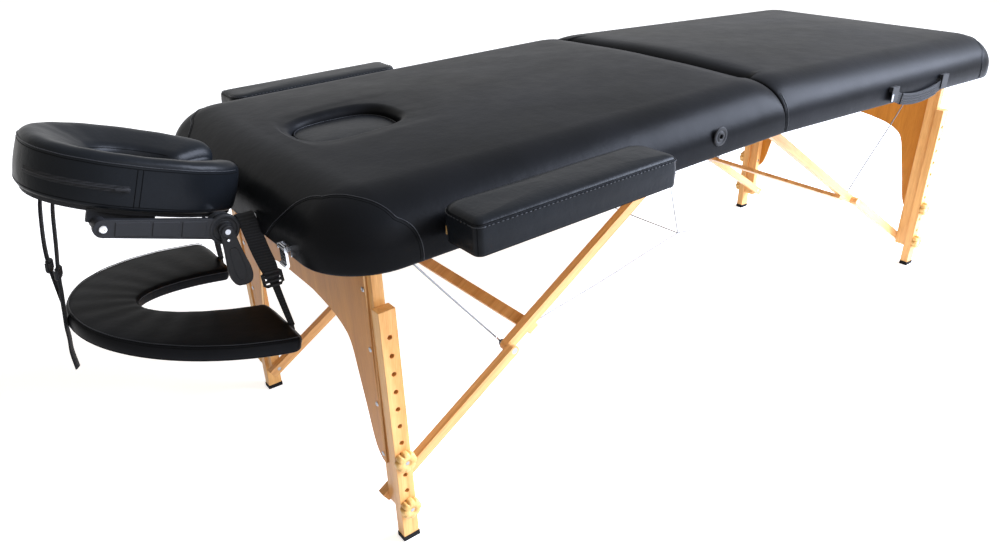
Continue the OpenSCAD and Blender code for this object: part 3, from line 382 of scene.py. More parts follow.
@dataclass(frozen=True)
class Half:
    """One half of the table, with u out from the hinge, y across and w up from the frame's underside."""

    end: End
    place_x: float

    @property
    def tag(self) -> str:
        """Start of the names of this half's pieces."""
        return self.end.name.lower()

    @property
    def up(self) -> Array:
        """One millimetre up, square to the section, in metres."""
        return self.world(0.0, 0.0, 1.0) - self.world(0.0, 0.0, 0.0)

    def world(self, u: Array | float, y: Array | float, w: Array | float) -> Array:
        """Turns section millimetres into metres of the whole table.

        Args:
            u: Distance from the hinge line.
            y: Distance from the middle, to the rear.
            w: Height above the frame's underside, square to the section.

        Returns:
            The points, with a last axis of three.
        """
        u, y, w = np.broadcast_arrays(np.asarray(u, float), np.asarray(y, float), np.asarray(w, float))
        x = self.end.value * (u * math.cos(TILT) + w * math.sin(TILT)) + self.place_x
        return np.stack([x, y, HINGE_Z - u * math.sin(TILT) + w * math.cos(TILT)], -1) * MM

    def put(self, points: Array) -> Array:
        """Turns points held as u, y and w into metres of the whole table."""
        return self.world(points[..., 0], points[..., 1], points[..., 2])


def round_angles(count: int) -> Array:
    """Evenly spaced angles of one full turn, without the last."""
    return np.arange(count) * FULL_TURN / count


def joined(path: Array) -> Array:
    """Path with its first point again at its end."""
    return np.concatenate([path, path[:1]])


def mirrored(right: Array, skip: int = 0) -> Array:
    """Outline from its right half: the half, then its mirror image back, less some shared points."""
    return np.concatenate([right, right[::-1][1:len(right) - skip] * [-1, 1]])


def run_length(points: Array) -> Array:
    """Distance along a path at each of its points."""
    return np.concatenate([[0], np.cumsum(np.linalg.norm(np.diff(points, axis=0), axis=-1))])


class Skin:
    """Gathers numpy surfaces into one mesh, each closed surface turned to face outwards."""

    def __init__(self) -> None:
        """Starts with nothing in it."""
        self.points: list[Array] = []
        self.faces: list[list[int]] = []
        self.slots: list[int] = []
        self.count = 0

    def add(self, flat: Array, quads: Array, caps: Sequence[Array], slot: int, cap_slot: int) -> Skin:
        """Adds one surface, turned over when the volume that its quads hold comes out negative.

        Args:
            flat: Its points in metres.
            quads: Point numbers of its four-sided faces.
            caps: Point numbers of the faces that close its ends.
            slot: Material slot of the quads.
            cap_slot: Material slot of the end faces.

        Returns:
            This skin, so that calls can follow one another.
        """
        a, b, c, d = np.moveaxis(flat[quads] - flat.mean(0), 1, 0)
        way = -1 if (a * np.cross(b, c)).sum() + (a * np.cross(c, d)).sum() < 0 else 1
        self.faces += (quads[:, ::way] + self.count).tolist() + [(cap[::way] + self.count).tolist() for cap in caps]
        self.slots += [slot] * len(quads) + [cap_slot] * len(caps)
        self.points.append(flat)
        self.count += len(flat)
        return self

    def grid(self, surface: Array, looped: bool = False, slot: int = 0) -> Skin:
        """Adds a surface worked out on a grid whose rows close on themselves.

        Args:
            surface: Points in metres, with axes of rows, columns and three.
            looped: Whether the last row joins the first; otherwise flat ends close the surface.
            slot: Material slot of its faces.

        Returns:
            This skin.
        """
        rows, columns, _ = surface.shape
        index = np.arange(rows * columns).reshape(rows, columns)
        wide = np.concatenate([index, index[:, :1]], 1)
        tall = joined(wide) if looped else wide
        quads = np.stack([tall[:-1, :-1], tall[:-1, 1:], tall[1:, 1:], tall[1:, :-1]], -1).reshape(-1, 4)
        return self.add(surface.reshape(-1, 3), quads, [] if looped else [index[0, ::-1], index[-1]], slot, slot)

    def slab(self, outline: Array, low: float, high: float, place: Callable[[Array, Array, Array], Array],
             slot: int = 0, edge_slot: int | None = None) -> Skin:
        """Adds a flat plate with the given outline.

        Args:
            outline: Points of the outline, two numbers each.
            low: First face's distance along the third axis.
            high: Second face's distance.
            place: Turns outline and distance into metres.
            slot: Material slot of the two faces.
            edge_slot: Material slot of the edge, when it differs.

        Returns:
            This skin.
        """
        n = len(outline)
        flat = place(np.tile(outline[:, 0], 2), np.tile(outline[:, 1], 2), np.repeat([low, high], n))
        ring = np.arange(n)
        after = (ring + 1) % n
        quads = np.stack([ring, after, after + n, ring + n], -1)
        return self.add(flat, quads, [ring[::-1], ring + n], slot if edge_slot is None else edge_slot, slot)

    def turn(self, profile: Pairs, centre: Array, axis: Array, sides: int, slot: int = 0, looped: bool = False,
             lobes: Array | float = 1.0) -> Skin:
        """Adds a profile turned round an axis.

        Args:
            profile: Radius and distance along the axis of each row, in millimetres.
            centre: Point on the axis at distance 0, in metres.
            axis: Direction of the axis.
            sides: Points round.
            slot: Material slot of its faces.
            looped: Whether the last row joins the first.
            lobes: Factor on the radius, one or one for each row and point.

        Returns:
            This skin.
        """
        rows = np.array(profile) * MM
        axis = np.asarray(axis, float) / np.linalg.norm(axis)
        side = np.cross(axis, [0.0, 0.0, 1.0])
        side /= np.linalg.norm(side)
        angle = round_angles(sides)
        ring = np.cos(angle)[:, None] * side + np.sin(angle)[:, None] * np.cross(axis, side)
        factor = np.broadcast_to(np.asarray(lobes, float), (len(rows), sides))[..., None]
        surface = centre + factor * rows[:, :1, None] * ring[None] + rows[:, 1:2, None] * axis
        return self.grid(surface, looped, slot)

    def to_object(self, name: str, materials: Sequence[Material], crease: float = NO_CREASE,
                  bevel: float = 0.0) -> Piece:
        """Makes the Blender object, its place held in its mesh.

        Args:
            name: Name of the piece.
            materials: Its material slots in order.
            crease: Angle in degrees past which an edge stays sharp.
            bevel: Width in metres of the rounding on sharp edges, or 0 for none.

        Returns:
            The new object.
        """
        mesh = bpy.data.meshes.new(name)
        mesh.from_pydata(np.concatenate(self.points).tolist(), [], self.faces)
        mesh.polygons.foreach_set("material_index", np.array(self.slots, np.int32))
        mesh.polygons.foreach_set("use_smooth", np.ones(len(self.faces), bool))
        for material in materials:
            mesh.materials.append(material)
        mesh.validate()
        mesh.update()
        if crease < NO_CREASE:
            mesh.set_sharp_from_angle(angle=math.radians(crease))
        made = bpy.data.objects.new(name, mesh)
        bpy.context.scene.collection.objects.link(made)
        if bevel:
            rounding = made.modifiers.new("rounded_edges", "BEVEL")
            rounding.width, rounding.segments, rounding.limit_method = bevel, 2, "ANGLE"
            rounding.angle_limit, rounding.harden_normals = math.radians(35), True
        return made


def hang(body: str, slot: str, *pieces: Piece, node: str = "") -> list[Piece]:
    """Hangs pieces on a body and hides the CAD node that the first one stands for.

    Args:
        body: The body that they ride.
        slot: Not used.
        pieces: The pieces.
        node: The CAD node that the first one stands for, if any.

    Returns:
        The pieces.
    """
    if node:
        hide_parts(node)
    for piece in pieces:
        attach(piece, body)
    return list(pieces)


def grid_normals(surface: Array) -> Array:
    """Unit normals of a grid surface, from the cross product of its two directions, facing outwards."""
    padded = np.concatenate([surface[:, -1:], surface, surface[:, :1]], 1)
    normal = np.cross(np.gradient(surface, axis=0), padded[:, 2:] - padded[:, :-2])
    normal /= np.linalg.norm(normal, axis=-1, keepdims=True) + 1e-12
    outward = surface - surface.reshape(-1, 3).mean(0)
    return normal * np.sign((normal * outward).sum(-1).mean())


def trace(surface: Array, waypoints: Array, count: int) -> Seam:
    """Finds a smooth path over a grid surface near some waypoints.

    The nearest grid places of the waypoints are joined by a curve in row and column numbers, which is
    smoothed and read back from the surface between its points.

    Args:
        surface: Points in metres on a grid.
        waypoints: Points near the surface, in order.
        count: Number of points wanted.

    Returns:
        The path's points and the surface's normals there.
    """
    apart = np.linalg.norm(surface[None] - waypoints[:, None, None], axis=-1).reshape(len(waypoints), -1)
    row, column = np.unravel_index(apart.argmin(1), surface.shape[:2])
    run = run_length(waypoints)
    at = np.linspace(0, run[-1], count)
    r, c = np.interp(at, run, row.astype(float)), np.interp(at, run, column.astype(float))
    width = max(3, count // 5) | 1
    kernel = np.ones(width) / width
    r, c = (np.convolve(np.pad(v, width // 2, "reflect", reflect_type="odd"), kernel, "valid") for v in (r, c))
    r0, c0 = np.clip(r.astype(int), 0, surface.shape[0] - 2), c.astype(int)
    fr, fc = (np.clip(r, 0, surface.shape[0] - 1) - r0)[:, None], (c - c0)[:, None]
    ca, cb = c0 % surface.shape[1], (c0 + 1) % surface.shape[1]

    def read(values: Array) -> Array:
        """Reads values between the grid's points."""
        return ((1 - fr) * ((1 - fc) * values[r0, ca] + fc * values[r0, cb])
                + fr * ((1 - fc) * values[r0 + 1, ca] + fc * values[r0 + 1, cb]))

    found = read(grid_normals(surface))
    return read(surface), found / np.linalg.norm(found, axis=-1, keepdims=True)


def along(points: Array, closed: bool = False) -> Array:
    """Unit directions of a path at each of its points."""
    run = (np.roll(points, -1, 0) - np.roll(points, 1, 0)) if closed else np.gradient(points, axis=0)
    return run / (np.linalg.norm(run, axis=-1, keepdims=True) + 1e-12)


def smooth_path(points: Array | Sequence[Sequence[float]], count: int) -> Array:
    """Runs a Catmull-Rom curve through the points and reads it evenly in its own parameter."""
    points = np.array(points)
    padded = np.concatenate([[2 * points[0] - points[1]], points, [2 * points[-1] - points[-2]]])
    at = np.linspace(0, len(points) - 1 - 1e-6, count)
    k = at.astype(int)
    t = (at - k)[:, None]
    a, b, c, d = padded[k], padded[k + 1], padded[k + 2], padded[k + 3]
    return 0.5 * (2 * b + (c - a) * t + (2 * a - 5 * b + 4 * c - d) * t ** 2 + (3 * b - a - 3 * c + d) * t ** 3)


def tube(points: Array, radius: float | Array, sides: int = 10, closed: bool = False) -> Array:
    """Carries a circle along a path, its plane square to the path at each point.

    Args:
        points: The path in metres.
        radius: One radius, or one for each point.
        sides: Points round the circle.
        closed: Whether the path joins up.

    Returns:
        The tube's grid of points.
    """
    run = along(points, closed)
    guide = np.where(np.abs(run[:, 2:]) < 0.9, [[0.0, 0.0, 1.0]], [[1.0, 0.0, 0.0]])
    side = np.cross(run, guide)
    side /= np.linalg.norm(side, axis=-1, keepdims=True)
    angle = round_angles(sides)[None, :, None]
    radius = np.broadcast_to(np.asarray(radius, float), len(points))[:, None, None]
    return points[:, None] + radius * (np.cos(angle) * side[:, None] + np.sin(angle) * np.cross(side, run)[:, None])


def ribbon(points: Array, across: Array | Sequence[float], width: float | Array, thickness: float) -> Array:
    """Carries a flat section with rounded edges along a path.

    Args:
        points: The path in metres.
        across: Direction of the width at each point, or one for all.
        width: Full width in metres, one or one for each point.
        thickness: Full thickness in metres.

    Returns:
        The strap's grid of points.
    """
    run = along(points)
    across = np.broadcast_to(across, points.shape)
    across = across - (across * run).sum(-1, keepdims=True) * run
    across = across / np.linalg.norm(across, axis=-1, keepdims=True)
    half = np.broadcast_to(np.asarray(width, float), len(points))[:, None, None] / 2
    a = np.array([1.0, 0.98, 0.9, 0.0, -0.9, -0.98, -1.0, -0.98, -0.9, 0.0, 0.9, 0.98])[None, :, None]
    b = np.array([0.0, 0.7, 1.0, 1.0, 1.0, 0.7, 0.0, -0.7, -1.0, -1.0, -1.0, -0.7])[None, :, None] * thickness / 2
    return points[:, None] + half * a * across[:, None] + b * np.cross(run, across)[:, None]


def stitches(path: Array, normals: Array, aside: float, pitch: float = 0.0075, length: float = 0.0048,
             radius: float = 0.0007) -> list[Array]:
    """Lays short threads beside a seam.

    Args:
        path: The seam's points.
        normals: The surface's normals there.
        aside: Distance from the seam, to one side.
        pitch: Distance from one stitch to the next.
        length: Length of a stitch.
        radius: Half thickness of the thread.

    Returns:
        One small closed grid for each stitch.
    """
    both = np.concatenate([path, normals], 1)
    run = run_length(both)
    at = np.linspace(0, run[-1], max(3, int(run[-1] / pitch)))
    both = np.stack([np.interp(at, run, both[:, i]) for i in range(6)], -1)
    points, up = both[:, :3], both[:, 3:]
    run = along(points)
    side = np.cross(run, up)
    points = points + aside * side / np.linalg.norm(side, axis=-1, keepdims=True) + up * radius * 0.35
    shares = np.array([-0.5, -0.32, 0.0, 0.32, 0.5])
    sizes = radius * np.array([0.35, 0.9, 1.0, 0.9, 0.35])
    return [tube(p + length * shares[:, None] * d, sizes, 5) for p, d in zip(points, run)]


def dress_seam(name: str, lines: Sequence[Seam], palette: Palette, aside: float, stitched: int = 99) -> Piece:
    """Makes the sunken seam lines of one cover with the stitches beside them.

    Args:
        name: Name of the piece.
        lines: For each seam its points and normals.
        palette: The finishes.
        aside: Distance of the stitches from the seam.
        stitched: How many of the first seams have stitches.

    Returns:
        The seams as one object.
    """
    skin = Skin()
    for number, (path, normals) in enumerate(lines):
        skin.grid(tube(path - normals * SEAM_BEAD * 0.35, SEAM_BEAD, 6))
        for thread in stitches(path[1:-1], normals[1:-1], aside) if number < stitched else ():
            skin.grid(thread, slot=1)
    return skin.to_object(name, [palette.seam, palette.thread])


def oval_at(a: float, b: float, angle: Array, power: float) -> Array:
    """Point of a superellipse at each angle, with half lengths a and b."""
    soft = [np.sign(v) * np.abs(v) ** power for v in (np.cos(angle), np.sin(angle))]
    return np.stack([a * soft[0], b * soft[1]], -1)


@dataclass(frozen=True)
class SectionCover:
    """Cover of one padded section: straight sides, a wide soft edge round and a low crown on top."""

    length: float = 924.0
    half_w: float = 350.0
    corner_r: float = 100.0
    side_h: float = 20.0
    shoulder_h: float = 94.0
    crown_h: float = 8.0
    hinge_end_h: float = 84.0
    edge_round: float = 90.0
    hinge_fall: float = 60.0
    cover_gap: float = 0.4
    rail_in: float = 5.7
    face_half: tuple[float, float] = (86.0, 68.0)
    face_lip: float = 14.0
    middle_half: tuple[float, float] = (60.0, 90.0)
    underside: float = 59.4
    hem: float = 1.3
    notch: tuple[float, float, float] = (6.6, 334.5, 8.0)
    crowding: float = 1.7
    pucker: tuple[float, float, float] = (12.0, 0.12, 2.0)

    def loop(self, u0: float, inset: float) -> Array:
        """Plan of the cover at one inset: hinge end, front, far corners and end, and rear, as one loop."""
        r, hw, u1 = self.corner_r - inset, self.half_w - inset, self.length - self.corner_r
        yc = self.half_w - self.corner_r
        end, side = (np.arange(count) / count for count in (END_POINTS, SIDE_POINTS))
        turn = np.arange(CORNER_POINTS) / CORNER_POINTS * math.pi / 2
        return np.concatenate([
            np.stack([np.full(END_POINTS, u0), hw - 2 * hw * end], 1),
            np.stack([u0 + (u1 - u0) * side ** self.crowding, np.full(SIDE_POINTS, -hw)], 1),
            np.stack([u1 + r * np.sin(turn), -yc - r * np.cos(turn)], 1),
            np.stack([np.full(END_POINTS, u1 + r), -yc + 2 * yc * end], 1),
            np.stack([u1 + r * np.cos(turn), yc + r * np.sin(turn)], 1),
            np.stack([u0 + (u1 - u0) * (1 - side) ** self.crowding, np.full(SIDE_POINTS, hw)], 1)])

    def oval(self, a: float, b: float, power: float = 1.0) -> Array:
        """Points of an oval about the face opening's centre, one for each point of the loop."""
        parts = ((-0.31, END_POINTS, 0.62), (0.31, SIDE_POINTS, 0.27), (0.58, CORNER_POINTS, 0.2),
                 (0.78, END_POINTS, 0.44), (1.22, CORNER_POINTS, 0.2), (1.42, SIDE_POINTS, 0.27))
        spread = np.concatenate([start + np.arange(count) / count * run for start, count, run in parts])
        return oval_at(a, b, math.pi + spread * math.pi, power) + [FACE_U, 0.0]

    def hole(self, grown: float) -> Array:
        """Outline of the face opening, grown by a margin."""
        return self.oval(self.face_half[0] + grown, self.face_half[1] + grown, FACE_POWER)

    def hinge_share(self, u: Array) -> Array:
        """How far the top has risen from its low hinge end, from 0 to 1."""
        return np.sqrt(1 - (1 - np.clip(u / self.hinge_fall, 0, 1)) ** 2)

    def shoulder(self, u: Array) -> Array:
        """Height where the edge round ends."""
        return self.hinge_end_h + (self.shoulder_h - self.hinge_end_h) * self.hinge_share(u)

    def top(self, plan: Array) -> Array:
        """Height of the top: the shoulder, a crown that is a parabola across, and faint uneven foam."""
        u, y = plan[:, 0], plan[:, 1]
        far = np.clip((self.length - self.edge_round - u) / (2 * self.edge_round), 0, 1)
        crown = (self.crown_h * self.hinge_share(u) * np.sin(far * math.pi / 2)
                 * np.clip(1 - (y / (self.half_w - self.edge_round)) ** 2, 0, None))
        foam = 0.5 * np.sin(u / 61 + 1.3 * np.sin(y / 57)) * np.cos(y / 71 + 0.8 * np.sin(u / 83))
        return self.shoulder(u) + crown + foam * np.clip(crown / 3, 0, 1)

    def rings(self, holed: bool) -> tuple[list[Array], int]:
        """Works out the cover's rings from the underside, out round the hem, up the side and over the top.

        Args:
            holed: Whether the section has the face opening.

        Returns:
            The rings, each of plan and height, and the number of the first outer ring.
        """
        rings: list[Array] = []

        def add(plan: Array, w: Array | float) -> None:
            """Adds one ring from its plan and its height."""
            rings.append(np.column_stack([plan, np.broadcast_to(w, len(plan))]))

        core = self.hole(0.0) if holed else self.oval(*self.middle_half)
        add(core, self.underside)
        for inset, w in ((19.0, self.underside), (19.0, 54.4), (15.0, 54.4), (15.0, -0.1), (34.0, -0.1),
                         (34.0, -self.hem)):
            add(self.loop(self.rail_in, inset), w)
        outer = len(rings)
        for inset, w in ((5.0, -self.hem), (1.6, -0.4), (0.4, 2.4), (0.0, 7.0), (-0.4, 13.0), (0.0, 20.0)):
            add(self.loop(self.cover_gap, inset), w)
        for a in np.linspace(0, math.pi / 2, 17)[1:]:
            plan = self.loop(self.cover_gap, self.edge_round * (1 - math.cos(a)))
            add(plan, self.side_h + (self.shoulder(plan[:, 0] - self.cover_gap) - self.side_h) * math.sin(a))
        notch_u, notch_y, notch_w = self.notch
        for ring in rings:
            notched = (ring[:, 0] < notch_u) & (np.abs(ring[:, 1]) < notch_y)
            ring[:, 2] = np.where(notched, np.maximum(ring[:, 2], notch_w), ring[:, 2])
        edge = self.loop(self.cover_gap, self.edge_round)
        rim = self.hole(self.face_lip) if holed else core
        for t in np.linspace(0, 1, 27)[1:]:
            plan = edge + (rim - edge) * t
            w = self.top(plan)
            if holed:
                bearing = np.arctan2(plan[:, 1], plan[:, 0] - FACE_U)
                near, pleat, dip = self.pucker
                w = w + math.exp(-(((1 - t) * near) ** 2)) * (pleat * np.cos(17 * bearing) - dip)
            add(plan, w)
        rim_w = rings[-1][:, 2]
        if holed:
            for a in np.linspace(0, math.pi / 2, 7)[1:]:
                add(self.hole(self.face_lip * (1 - math.sin(a))), rim_w - self.face_lip * (1 - math.cos(a)))
            for t in (0.35, 0.7):
                add(self.hole(1.5 * math.sin(t * math.pi)), (rim_w - self.face_lip) * (1 - t) + self.underside * t)
        else:
            for t in (0.75, 0.5, 0.25, 0.05):
                plan = self.oval(self.middle_half[0] * t, self.middle_half[1] * t)
                add(plan, self.top(plan))
        return rings, outer


@dataclass
class PaddedSection:
    """One upholstered half of the table: its cover with corner patches, seams and stitches."""

    half: Half
    palette: Palette
    shape: SectionCover = field(default_factory=SectionCover)
    side_rows: int = 50
    patch: tuple[tuple[float, float, float], ...] = (
        (808, 350, 3), (806, 350, 28), (811, 341, 50), (818, 324, 73), (838, 299, 87), (855, 279, 90),
        (870, 253, 88), (889, 228, 79), (905, 214, 65), (919, 188, 45), (924, 156, 18), (924, 142, 3))
    hinge_seam: tuple[tuple[float, float, float], ...] = (
        (3, 350, 4), (3, 350, 20), (3.4, 345, 40), (4.4, 334, 58), (6, 322, 68))

    def build(self) -> list[Piece]:
        """Makes the cover and its seams and hangs them on the half's body."""
        holed, tag = self.half.end is End.HEAD, self.half.tag
        rings, outer = self.shape.rings(holed)
        surface = self.half.put(np.stack(rings))
        cover = Skin().grid(surface, looped=holed).to_object(f"{tag}_cover", [self.palette.leather])
        ways = [(self.patch, 90)] + ([] if holed else [(self.hinge_seam, 50)])
        lines = [trace(surface[outer:outer + self.side_rows], self.half.put(np.array(way) * [1, flip, 1]), count)
                 for way, count in ways for flip in (-1, 1)]
        seams = dress_seam(f"{tag}_cover_seams", lines, self.palette, 0.0045)
        made = hang("table_head" if holed else "foot_half", "cover", cover, seams, node=f"{tag}_cushion")
        return made


@dataclass
class FacePlug:
    """Small oval pad that fills the face opening, with a sewn top edge."""

    half: Half
    palette: Palette
    semi_u: float = 84.6
    semi_y: float = 66.6
    base_w: float = 59.3
    height: float = 27.0
    profile: Pairs = ((0.90, 0.0), (0.975, 0.02), (1.0, 0.12), (1.005, 0.4), (1.0, 0.68), (0.985, 0.80),
                      (0.93, 0.90), (0.8, 0.965), (0.5, 1.03), (0.2, 1.06), (0.01, 1.065))

    def build(self) -> list[Piece]:
        """Makes the plug as rings of an oval and adds the seam along its top edge."""
        profile = smooth_path(self.profile, 34)
        ring = oval_at(self.semi_u, self.semi_y, round_angles(120), FACE_POWER)
        surface = self.half.world(FACE_U + profile[:, :1] * ring[:, 0], profile[:, :1] * ring[:, 1],
                                  self.base_w + self.height * profile[:, 1:])
        pad = Skin().grid(surface).to_object("face_plug_pad", [self.palette.pad_leather])
        row = int(np.abs(profile[:, 1] - 0.8).argmin())
        line = (joined(surface[row]), joined(grid_normals(surface)[row]))
        seam = dress_seam("face_plug_seam", [line], self.palette, 0.004)
        made = hang("face_plug", "cover", pad, seam, node="face_plug")
        return made


@dataclass
class Armrest:
    """Boxy lift-off armrest pad with a sewn top edge and upright corner seams."""

    half: Half
    palette: Palette
    side: Side
    start_u: float = 402.0
    length: float = 368.0
    inner_y: float = 353.6
    width: float = 85.6
    low_w: float = 27.0
    corner: float = 11.0
    inner_corner: float = 26.0
    corner_steps: int = 12
    soft_inset: float = 12.0
    widest_row: int = 12
    profile: Pairs = ((9.0, 0.0), (2.5, 0.4), (0.4, 3.5), (0.1, 14.0), (-0.5, 26.0), (0.1, 37.0), (1.0, 43.5),
                      (4.0, 47.4), (10.0, 50.2), (20.0, 52.2), (33.0, 53.0), (42.0, 53.2))

    def build(self) -> list[Piece]:
        """Makes the pad from a rounded rectangle carried up a soft profile, then its seams."""
        name = f"armrest_{self.side.name.lower()}"
        profile = smooth_path(self.profile, 40)
        half_l, half_w, steps = self.length / 2, self.width / 2, self.corner_steps
        corners = [(1, -1, -90), (1, 1, 0), (-1, 1, 90), (-1, -1, 180)]
        angles = np.radians(np.concatenate([c[2] + np.linspace(0, 90, steps) for c in corners]))
        sx, sy = (np.repeat([c[k] for c in corners], steps) for k in (0, 1))
        inset = profile[:, :1]
        squeeze = 1 - np.clip(inset / half_w, 0, 0.98)
        r = np.where(sy < 0, self.inner_corner, self.corner) * squeeze
        soft = self.soft_inset
        flat_u = np.where(inset < soft, half_l - inset, half_l * squeeze / (1 - soft / half_w) * (1 - soft / half_l))
        u = self.spread(sx * (flat_u - r) + r * np.cos(angles))
        y = self.spread(sy * (half_w - inset - r).clip(0.2) + r * np.sin(angles))
        lift = 0.5 * np.sin(u / 31) * np.cos(y / 17) * np.clip((inset - 4) / 10, 0, 1)
        surface = self.half.world(self.start_u + half_l + u, self.side.value * (self.inner_y + half_w + y),
                                  self.low_w + profile[:, 1:] + lift)
        pad = Skin().grid(surface).to_object(f"{name}_cover", [self.palette.pad_leather])
        normals = grid_normals(surface)
        row = int(np.abs(profile[:, 1] - 45.0).argmin())
        low_row = int(np.abs(profile[:20, 1] - 2.5).argmin())
        lines = [(joined(surface[k]), joined(normals[k])) for k in (row, low_row)]
        for across, back in ((-1, -1), (-1, 1), (1, -1), (1, 1)):
            k = int((across * u[self.widest_row] + back * y[self.widest_row]).argmax())
            lines.append((surface[low_row:row + 1, k], normals[low_row:row + 1, k]))
        seams = dress_seam(f"{name}_seams", lines, self.palette, 0.0035, stitched=1)
        made = hang(name, "cover", pad, seams, node=f"{name}_pad")
        return made

    def spread(self, values: Array) -> Array:
        """Adds points between the corners so that the long sides have their own columns."""
        parts = []
        for k, extra in enumerate((8, 28, 8, 28)):
            start, stop = k * self.corner_steps, (k + 1) * self.corner_steps
            after = values[:, stop % values.shape[1]][:, None]
            t = np.linspace(0, 1, extra + 2)[1:-1]
            parts += [values[:, start:stop], values[:, stop - 1:stop] * (1 - t) + after * t]
        return np.concatenate(parts, 1)


@dataclass(frozen=True)
class Horseshoe:
    """A padded horseshoe: a section carried between an outer and an inner oval, drawn in at the tips."""

    outer: tuple[float, float]
    inner: tuple[float, float]
    wrap: float
    tip_turn: float
    power: float
    section: Pairs
    tip_floor: float
    tip_power: float

    def grid(self, count: int) -> Array:
        """Works out the horseshoe in its own frame, in millimetres.

        Args:
            count: Stations along the arc, without the extra ones at the tips.

        Returns:
            Rows along the arc and columns round the section.
        """
        tip = np.array([0, 0.02, 0.06, 0.12, 0.2, 0.32, 0.46, 0.62, 0.8, 1.0])
        scale = np.maximum(self.tip_floor, (1 - (1 - tip) ** self.tip_power) ** (1 / self.tip_power))
        middle = np.linspace(self.tip_turn - self.wrap, self.wrap - self.tip_turn, count)[1:-1]
        angle = np.radians(np.concatenate([self.tip_turn * tip - self.wrap, middle,
                                           (self.wrap - self.tip_turn * tip)[::-1]]))
        size = np.concatenate([scale, np.ones(len(middle)), scale[::-1]])[:, None]
        outer, inner = oval_at(*self.outer, angle, self.power), oval_at(*self.inner, angle, self.power)
        mid, reach = (outer + inner) / 2, (outer - inner) / 2
        closed = self.section + self.section[:3]
        keep = np.linspace(0, len(closed) - 1, 76)
        profile = smooth_path(closed, 76)[(keep >= 1) & (keep < len(self.section) + 1 - 1e-6)]
        height = profile[:, 1].max() / 2
        plan = mid[:, None] + reach[:, None] * profile[None, :, :1] * (1 + size[..., None]) / 2
        lift = height + (profile[None, :, 1] - height) * size
        return np.concatenate([plan, lift[..., None]], -1)

    def column(self, grid: Array, share: float, height: float) -> int:
        """Number of the section's column nearest a share of the reach and a height, at mid arc."""
        row = grid[len(grid) // 2]
        across = (row[:, 0] - (self.outer[0] + self.inner[0]) / 2) / ((self.outer[0] - self.inner[0]) / 2)
        return int(((across - share) ** 2 + ((row[:, 2] - height) / 40) ** 2).argmin())


